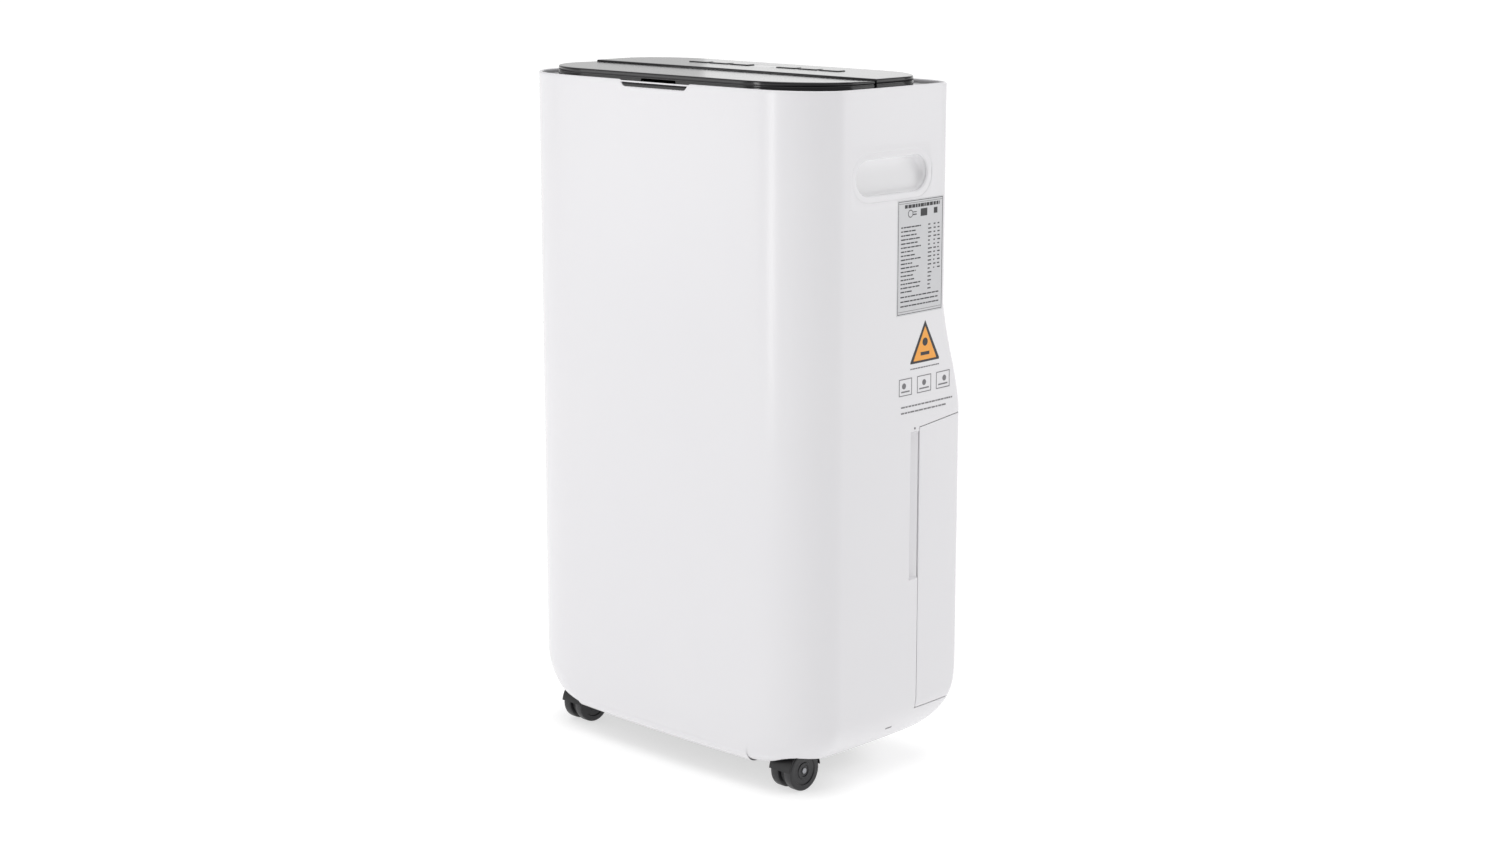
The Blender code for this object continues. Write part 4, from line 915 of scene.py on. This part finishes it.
# Each caster: a half-round hood turned about the axle, a web between the wheels and a stem, then two turned wheels.
def makeCasters():
    c = casterSpec
    for place in casterPlaces:
        low, high = (np.array(v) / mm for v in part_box(f"caster_{place}_wheel_left"))
        low2, high2 = (np.array(v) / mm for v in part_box(f"caster_{place}_wheel_right"))
        radius = (high[2] - low[2]) / 2
        x, y, z = (low[0] + high2[0]) / 2, (low[1] + high[1]) / 2, radius
        y, half = round(y, 2), (high2[0] - low[0]) / 2
        r, w = c["hoodR"], c["hoodWall"]
        hood = [(r - w, -half), (r - 0.4, -half), (r - 0.1, -half + 0.25), (r, -half + 0.8), (r, half - 0.8),
                (r - 0.1, half - 0.25), (r - 0.4, half), (r - w, half)]
        hood = np.array(hood) * mm
        centre = np.array([x, y, z]) * mm
        webR, webHalf, soft = c["web"]
        web = [(0.0, -webHalf), (webR - soft, -webHalf), (webR, -webHalf + soft), (webR, webHalf - soft),
               (webR - soft, webHalf), (0.0, webHalf)]
        neckX, neckY, neckLow, neckHigh = c["neck"]
        collarR, stemR, stemTop, crown = c["collarR"], c["stemR"], c["stemTop"], z + r
        stem = [(0.0, crown - 2.4), (collarR, crown - 2.4), (collarR, crown - 0.6), (stemR, crown - 0.2),
                (stemR, stemTop - 0.6), (stemR - 0.6, stemTop), (0.0, stemTop)]
        solids = [turnedSolid(hood, centre, "X", 49, sweep=c["hoodSweep"]),
                  turnedSolid(np.array(web) * mm, centre, "X", 48, closed=False),
                  boxSolids(np.array([x - neckX, y - neckY, z + neckLow]) * mm,
                            np.array([x + neckX, y + neckY, z + r - neckHigh]) * mm),
                  turnedSolid(np.array(stem) * mm, (x * mm, (y + c["trail"]) * mm, 0.0), "Z", 32, closed=False)]
        addPiece(f"casterHood_{place}", *joinSolids(solids), "black_plastic", f"caster_{place}",
                 [f"caster_{place}_fork"])
        for side, name, edge in ((-1, "left", low[0]), (1, "right", high2[0])):
            # out from the bore: hub recess, raised cap ring, flat disc, chamfer, tread, chamfer, inner face
            out = [(2.7, -1.2), (5.0, -1.2), (5.4, -0.5), (7.2, -0.4), (7.6, -1.1), (12.4, -1.1), (12.9, -0.3),
                   (16.4, 0.0), (17.3, -0.3), (radius - 0.15, -0.9), (radius, -1.6), (radius, -7.4), (17.4, -8.6),
                   (16.5, -9.0), (2.7, -9.0)]
            profile = [(a * mm, (edge + side * b) * mm) for a, b in out]
            addPiece(f"casterWheel_{place}_{name}", *turnedSolid(profile, (0.0, y * mm, z * mm), "X", 72),
                     "wheel_plastic", f"wheel_{place}_{name}", [f"caster_{place}_wheel_{name}"], sharpDeg=30)
            hub = [(0.0, edge - side * 1.6), (2.2, edge - side * 1.6), (2.2, edge - side * 0.9),
                   (1.8, edge - side * 0.6), (0.0, edge - side * 0.5)]
            addPiece(f"casterCap_{place}_{name}", *turnedSolid(np.array(hub) * mm, (0.0, y * mm, z * mm), "X", 32,
                                                              closed=False), "steel", f"caster_{place}")


makeCasters()
print("casters made")


sticker = {"under": 0.05, "film": 0.10, "ink": 0.14, "overprint": 0.17, "steps": 8, "seed": 7}  # mm above the skin


# Thin pads laid on the right side: at each station along y a pad spans a low and a high z, and its x is the side's
# own formula plus the pad's height.
def padSolids(tracks, height):
    t = np.concatenate([np.atleast_3d(track) for track in tracks])
    y = np.repeat(t[..., :1], 4, axis=-1)
    z = t[..., [1, 2, 2, 1]]
    lift = np.array([height, height, -sticker["under"], -sticker["under"]])
    x = sideX(y.ravel(), z.ravel()).reshape(y.shape) + lift
    points = np.stack([x, y, z], -1) * mm
    pads, stations = t.shape[:2]
    one = ringSolid(np.zeros((stations, 4, 3)))[1]
    faces = [[i + pad * stations * 4 for i in face] for pad in range(pads) for face in one]
    return points.reshape(-1, 3), faces


# Bars given as low y, high y, low z, high z, cut into equal steps along y.
def barTracks(bars):
    b = np.atleast_2d(np.asarray(bars, float))
    y = b[:, :1] + (b[:, 1:2] - b[:, :1]) * np.linspace(0.0, 1.0, sticker["steps"] + 1)[None, :]
    return np.stack([y, np.broadcast_to(b[:, 2:3], y.shape), np.broadcast_to(b[:, 3:4], y.shape)], -1)


# A disc: y = centre + r sin(a), z = centre -+ r cos(a).
def discTracks(y, z, radius):
    turn = np.linspace(-np.pi / 2, np.pi / 2, sticker["steps"] + 1)
    half = radius * np.cos(turn)
    return np.stack([y + radius * np.sin(turn), z - half, z + half], -1)[None]


# An upright triangle: z rises from the base to the apex in proportion to the distance from the nearer end.
def triangleTracks(lowY, highY, baseZ, apexZ, blunt):
    y = lowY + (highY - lowY) * np.linspace(0.0, 1.0, sticker["steps"] + 1)
    share = 1 - np.abs(2 * (y - lowY) / (highY - lowY) - 1)
    return np.stack([y, np.full(len(y), baseZ), baseZ + blunt + (apexZ - baseZ - blunt) * share], -1)[None]


# Four bars round a rectangle's inner edge.
def frameBars(lowY, highY, lowZ, highZ, line):
    return [(lowY, highY, lowZ, lowZ + line), (lowY, highY, highZ - line, highZ),
            (lowY, lowY + line, lowZ + line, highZ - line), (highY - line, highY, lowZ + line, highZ - line)]


# A row of short bars that stands for a line of print: seeded lengths and spaces from low to high y.
def printedRow(rng, lowY, highY, z, tall, word, space):
    lengths = rng.uniform(*word, size=int((highY - lowY) / (word[0] + space[0])) + 1)
    gaps = rng.uniform(*space, size=len(lengths))
    starts = lowY + np.concatenate([[0.0], np.cumsum(lengths + gaps)[:-1]])
    bars = [(a, min(a + n, highY), z, z + tall) for a, n in zip(starts, lengths)]
    return [bar for bar in bars if bar[1] - bar[0] > word[0] / 2]


label = {"y": (0.5, 62.5), "z": (414.0, 513.0), "inset": 1.1, "line": 0.5, "second": 2.2, "head": (10.0, 57.0, 505.6),
         "rows": 17, "fullRows": 12, "firstRow": 489.0, "pitch": 3.45, "tall": 1.1, "leftStart": 5.4,
         "columns": (41.5, 49.0, 54.5), "least": (2.5, 1.5, 2.0), "most": (5.5, 4.0, 4.0),
         "blocks": [(31.0, 40.0, 497.5, 504.0), (49.0, 54.0, 498.5, 503.5)],
         "dashes": [(20.4, 25.6, 499.3, 500.3), (20.4, 25.6, 501.6, 502.3)],
         "footRows": (429.5, 425.5, 421.5), "ring": (17.5, 500.8), "ringOut": 3.4, "ringIn": 2.7}


# The rating label: film, border lines, a header row, a ring and a plain mark, two columns of printed bars.
def makeLabel():
    n, rng = label, np.random.default_rng(sticker["seed"])
    (lowY, highY), (lowZ, highZ) = n["y"], n["z"]
    edge, line = n["inset"], n["line"]
    addPiece("ratingLabel", *padSolids([barTracks([(lowY, highY, lowZ, highZ)])], sticker["film"]), None, "cabinet",
             finish=labelFilm)
    bars = frameBars(lowY + edge, highY - edge, lowZ + edge, highZ - edge, line)
    bars += [(lowY + 2 * edge, highY - 2 * edge, z, z + line * 0.6) for z in (lowZ + edge + n["second"],
                                                                             highZ - edge - n["second"])]
    bars += printedRow(rng, *n["head"], 3.0, (2.0, 4.6), (0.6, 0.9))
    bars += n["blocks"] + n["dashes"]
    for row in range(n["rows"]):
        z = n["firstRow"] - row * n["pitch"]
        bars += printedRow(rng, n["leftStart"], rng.uniform(20.0, 34.0), z, n["tall"], (1.8, 6.5), (0.5, 1.0))
        ends = [start + size for start, size in zip(n["columns"], rng.uniform(n["least"], n["most"]))]
        filled = 3 if row < n["fullRows"] else 1
        bars += [(a, b, z, z + n["tall"]) for a, b in zip(n["columns"][:filled], ends)]
    for z in n["footRows"]:
        bars += printedRow(rng, n["leftStart"], 57.0, z, n["tall"], (2.0, 7.0), (0.5, 0.9))
    addPiece("ratingLabelPrint", *padSolids([barTracks(bars), discTracks(*n["ring"], n["ringOut"])], sticker["ink"]),
             None, "cabinet", finish=inkBlack)
    addPiece("ratingLabelRing", *padSolids([discTracks(*n["ring"], n["ringIn"])], sticker["overprint"]), None,
             "cabinet", finish=labelFilm)


notice = {"y": (19.7, 58.8), "base": 370.5, "apex": 406.8, "border": 2.5,
          "mark": (388.0, 3.6), "bar": (6.0, 376.5, 379.5), "caption": 365.6,
          "icons": ((5.0, 22.0), (29.0, 48.0), (55.0, 74.0)), "iconZ": (344.0, 359.0), "iconLine": 0.7,
          "iconShift": (-2.0, 0.0, 2.0), "iconRound": (352.6, 2.6), "rows": ((333.4, 78.0), (328.2, 70.0)),
          "lowBar": (0.5, 8.5, 45.4, 46.8), "dot": (26.7, 313.6, 1.1)}


# The triangular notice with a plain round mark over a bar, three outlined pictures of plain shapes, rows of bars.
def makeNotices():
    n, rng = notice, np.random.default_rng(sticker["seed"] + 1)
    lowY, highY = n["y"]
    middle = (lowY + highY) / 2
    border = triangleTracks(lowY, highY, n["base"], n["apex"], 1.5)
    addPiece("noticeBorder", *padSolids([border], sticker["film"]), None, "cabinet", finish=inkBlack)
    b = n["border"]
    field = triangleTracks(lowY + 1.7 * b, highY - 1.7 * b, n["base"] + b * 0.8, n["apex"] - 2.1 * b, 0.6)
    addPiece("noticeField", *padSolids([field], sticker["ink"]), None, "cabinet", finish=inkOrange)
    half, barLow, barHigh = n["bar"]
    marks = [discTracks(middle, *n["mark"]), barTracks([(middle - half, middle + half, barLow, barHigh)])]
    addPiece("noticeMark", *padSolids(marks, sticker["overprint"]), None, "cabinet", finish=inkBlack)
    bars = printedRow(rng, lowY, highY, n["caption"], 1.0, (1.2, 4.0), (0.5, 0.9))
    for a, c in n["icons"]:
        bars += frameBars(a, c, *n["iconZ"], n["iconLine"])
        bars += [(a + 3.0, c - 3.0, n["iconZ"][0] + 3.0, n["iconZ"][0] + 4.2)]
    for z, end in n["rows"]:
        bars += printedRow(rng, 8.0, end, z, 1.3, (1.6, 6.0), (0.6, 1.1))
    bars.append(n["lowBar"])
    rounds = [discTracks((a + c) / 2 + shift, *n["iconRound"]) for (a, c), shift in zip(n["icons"], n["iconShift"])]
    addPiece("sidePrint", *padSolids([barTracks(bars), *rounds, discTracks(*n["dot"])], sticker["ink"]), None,
             "cabinet", finish=inkGrey)


makeLabel()
makeNotices()
print("stickers made")


tank = {"half": 150.0, "y": (0.3, 92.5), "z": (59.3, 270.0), "wall": 2.5, "corner": 7.0, "foot": 2.0, "lip": 0.6,
        "guide": (110.0, 25.0, 3.0, 120.0), "lid": (270.3, 273.0), "lug": ((58.5, 65.5), 46.0, 278.0, 6.0),
        "inlet": (0.0, 20.0, 11.0), "bail": 3.4, "pin": (2.0, 53.0, 64.0),
        "float": (3.4, 15.0, 62.3, 84.3)}


# The bucket: a rounded rectangle lofted from its foot up the outside, over the rim and down the inside.
def makeTank():
    t = tank
    (lowY, highY), (lowZ, highZ) = t["y"], t["z"]

    def outline(inset, z):
        r = max(t["corner"] - inset, 1.0)
        return atHeight(roundedRectangle(-t["half"] + inset, t["half"] - inset, lowY + inset, highY - inset, r), z)

    foot, wall, lip = t["foot"], t["wall"], t["lip"]
    rings = [outline(foot, lowZ), outline(foot * 0.3, lowZ + foot * 0.3), outline(0.0, lowZ + foot),
             outline(0.0, highZ - lip), outline(lip * 0.3, highZ - lip * 0.3), outline(lip, highZ),
             outline(wall - lip, highZ), outline(wall, highZ - lip), outline(wall, lowZ + wall + foot),
             outline(wall + foot, lowZ + wall)]
    x, y, r, guideTop = t["guide"]
    sunk, tip, core = 1.0, 0.8, 0.5  # into the floor, the rounded end, and the radius the ends close at
    guide = turnedSolid([(core, lowZ + wall - sunk), (r, lowZ + wall - sunk), (r, guideTop - tip),
                         (r - tip, guideTop), (core, guideTop)], (x, y, 0.0), "Z", 32, closed=False)
    points, faces = joinSolids([ringSolid(np.array(rings)), guide])
    addPiece("tankBucket", points * mm, faces, "smoke_plastic", "tank", ["water_tank"], sharpDeg=40)

    low, high = t["lid"]
    bevel = 0.6
    plate = [outline(0.0, low), outline(0.0, high - bevel), outline(bevel * 0.3, high - bevel * 0.3),
             outline(bevel, high)]
    (near, far), lugY, axisZ, half = t["lug"]
    pinR, pinLow, pinHigh = t["pin"]
    lugs = [lugSolid(*sorted((side * near, side * far)), half, axisZ - high + 1.0, pinR + 0.1, (lugY, axisZ))
            for side in (-1, 1)]
    lid = addPiece("tankLid", *joinSolids([ringSolid(np.array(plate) * mm), *lugs]), "white_plastic", "tank",
                   ["tank_lid"])
    inX, inY, inR = t["inlet"]
    past = 5.0
    points, faces = turnedSolid([(inR, low - past), (inR, high + past)], (inX, inY, 0.0), "Z", 48, closed=False)
    carve(lid, (points * mm, faces))

    arm = np.array([(54, 46), (54, 60), (50, 73), (38, 77)], float)
    path = np.concatenate([arm, (arm * np.array([-1.0, 1.0]))[::-1]])
    bail = tubeSolid(atHeight(path, axisZ) * mm, t["bail"] * mm, 24, 8)
    soft = 0.4
    points, faces = turnedSolid([(soft, pinLow), (pinR, pinLow), (pinR, pinHigh - soft), (pinR - soft, pinHigh),
                                 (soft, pinHigh)], (0.0, lugY, axisZ), "X", 24, closed=False)
    pins = [(points * np.array([side, 1.0, 1.0]) * mm, faces) for side in (1.0, -1.0)]
    addPiece("tankBail", *joinSolids([bail, *pins]), "grey_plastic", "tank_bail", ["tank_handle"])

    bore, r, low, high = t["float"]
    e = 1.2
    points, faces = turnedSolid([(bore, low + 0.3), (bore + 0.3, low), (r - e, low), (r - e * 0.3, low + e * 0.3),
                                 (r, low + e), (r, high - e), (r - e * 0.3, high - e * 0.3), (r - e, high),
                                 (bore + 0.3, high), (bore, high - 0.3)], (x, y, 0.0), "Z", 48)
    addPiece("floatRing", points * mm, faces, "white_plastic", "float", ["tank_float"])


grille = {"half": 131.7, "z": (432.3, 587.7), "y": (77.0, 81.0), "border": 10.0, "corner": 5.0, "rows": 12,
          "bar": 4.0, "round": 1.2}


# The intake grille: a rounded frame, rounded slats extruded along x and a centre bar.
def makeGrille():
    g = grille
    (lowZ, highZ), (lowY, highY), r = g["z"], g["y"], g["round"]

    def loop(inset, y, corner):
        flat = roundedRectangle(-g["half"] + inset, g["half"] - inset, lowZ + inset, highZ - inset, corner)
        return np.stack([flat[:, 0], np.full(len(flat), y), flat[:, 1]], -1)

    b = g["border"]
    frameRing = [loop(0.0, lowY, g["corner"]), loop(0.0, highY - r, g["corner"]), loop(r * 0.3, highY - r * 0.3, 4.6),
                 loop(r, highY, 4.0), loop(b - r, highY, 3.0), loop(b - r * 0.3, highY - r * 0.3, 2.4),
                 loop(b, highY - r, 2.0), loop(b, lowY, 2.0)]
    solids = [ringSolid(np.array(frameRing), capped=False)]
    pitch = (highZ - lowZ - 2 * b + g["bar"]) / g["rows"]
    profile = roundedRectangle(lowY + 0.2, highY - 0.3, -g["bar"] / 2, g["bar"] / 2, r, steps=4)
    for row in range(1, g["rows"]):
        z = lowZ + b + row * pitch - g["bar"] / 2
        solids.append(ringSolid(np.array([np.stack([np.full(len(profile), x), profile[:, 0], profile[:, 1] + z], -1)
                                          for x in (-g["half"] + b - 0.5, g["half"] - b + 0.5)])))
    post = roundedRectangle(-2.0, 2.0, lowY + 0.1, highY - 0.1, r, steps=4)
    solids.append(ringSolid(np.array([atHeight(post, z) for z in (lowZ + b - 0.5, highZ - b + 0.5)])))
    points, faces = joinSolids(solids)
    addPiece("intakeGrille", points * mm, faces, "white_plastic", "filter", ["filter_frame"], sharpDeg=50)


blower = {"z": 452.0, "y": (-86.0, -34.0), "rim": (70.0, 84.0), "disc": (-49.0, -46.0),
          "hub": (3.2, 8.0, -52.0, -42.0), "blades": 36, "lean": 28.0, "thick": 1.2, "band": 4.0}


# The blower wheel: a drum disc, two end bands and curved blades between them, each blade an arc swept along the axis.
def makeBlower():
    w = blower
    (inner, outer), (front, rear) = w["rim"], w["y"]
    bands = [turnedSolid([(inner, a), (outer, a), (outer, b), (inner, b)], (0, 0, w["z"]), "Y", 72)
             for a, b in ((front, front + w["band"]), (rear - w["band"], rear))]
    bore, hubR, hubLow, hubHigh = w["hub"]
    low, high = w["disc"]
    disc = turnedSolid([(bore, hubLow), (hubR, hubLow), (hubR, low), (outer - 6.0, low), (outer - 6.0, high),
                        (hubR, high), (hubR, hubHigh), (bore, hubHigh)], (0, 0, w["z"]), "Y", 72)
    share = np.linspace(0.0, 1.0, 7)
    radius = inner + 0.6 + (outer - inner - 1.2) * share
    swing = np.radians(w["lean"]) * share ** 1.6 * 0.35
    half = w["thick"] / 2 / radius
    edge = np.concatenate([np.stack([radius, swing - half], -1), np.stack([radius, swing + half], -1)[::-1]])
    blades = []
    for angle in np.linspace(0, 2 * np.pi, w["blades"], endpoint=False):
        x, z = edge[:, 0] * np.cos(edge[:, 1] + angle), edge[:, 0] * np.sin(edge[:, 1] + angle) + w["z"]
        blades.append(ringSolid(np.array([np.stack([x, np.full(len(x), y), z], -1)
                                          for y in (front + w["band"] - 0.3, rear - w["band"] + 0.3)])))
    points, faces = joinSolids(bands + [disc] + blades)
    addPiece("blowerWheel", points * mm, faces, "black_plastic", "blower", ["fan_wheel"], sharpDeg=40)


coil = {"half": 125.0, "z": (350.0, 596.0), "frame": 3.0, "pitch": 3.0, "fin": 0.4, "tubes": 9, "tubeR": 3.6}


# A finned coil: end frames, thin upright fins a few millimetres apart and round tubes through them.
def makeCoil(name, node, lowY, highY):
    c = coil
    (lowZ, highZ), e = c["z"], c["frame"]
    x = np.arange(-c["half"] + e + c["pitch"], c["half"] - e - 1.0, c["pitch"])
    low = np.stack([x, np.full(len(x), lowY + 0.8), np.full(len(x), lowZ + e)], -1)
    high = np.stack([x + c["fin"], np.full(len(x), highY - 0.8), np.full(len(x), highZ - e)], -1)
    plates = boxSolids(np.concatenate([low, [(-c["half"], lowY, lowZ), (c["half"] - e, lowY, lowZ),
                                             (-c["half"] + e, lowY, lowZ), (-c["half"] + e, lowY, highZ - e)]]),
                       np.concatenate([high, [(-c["half"] + e, highY, highZ), (c["half"], highY, highZ),
                                              (c["half"] - e, highY, lowZ + e), (c["half"] - e, highY, highZ)]]))
    middle = (lowY + highY) / 2
    tubes = [turnedSolid([(0.3, -c["half"] + 1.0), (c["tubeR"], -c["half"] + 1.0), (c["tubeR"], c["half"] - 1.0),
                          (0.3, c["half"] - 1.0)], (0.0, middle + sway, z), "X", 20, closed=False)
             for z in np.linspace(lowZ + 20, highZ - 20, c["tubes"]) for sway in (-6.5, 6.5)]
    points, faces = joinSolids([plates] + tubes)
    addPiece(name, points * mm, faces, "fin_aluminium", "cabinet", [node], mergeAt=0.0001 * mm)


makeTank()
makeGrille()
makeBlower()
makeCoil("condenserFins", "condenser_coil", -12.0, 17.0)
makeCoil("evaporatorFins", "evaporator_coil", 26.0, 56.0)
print("tank, grille, blower and coils made")
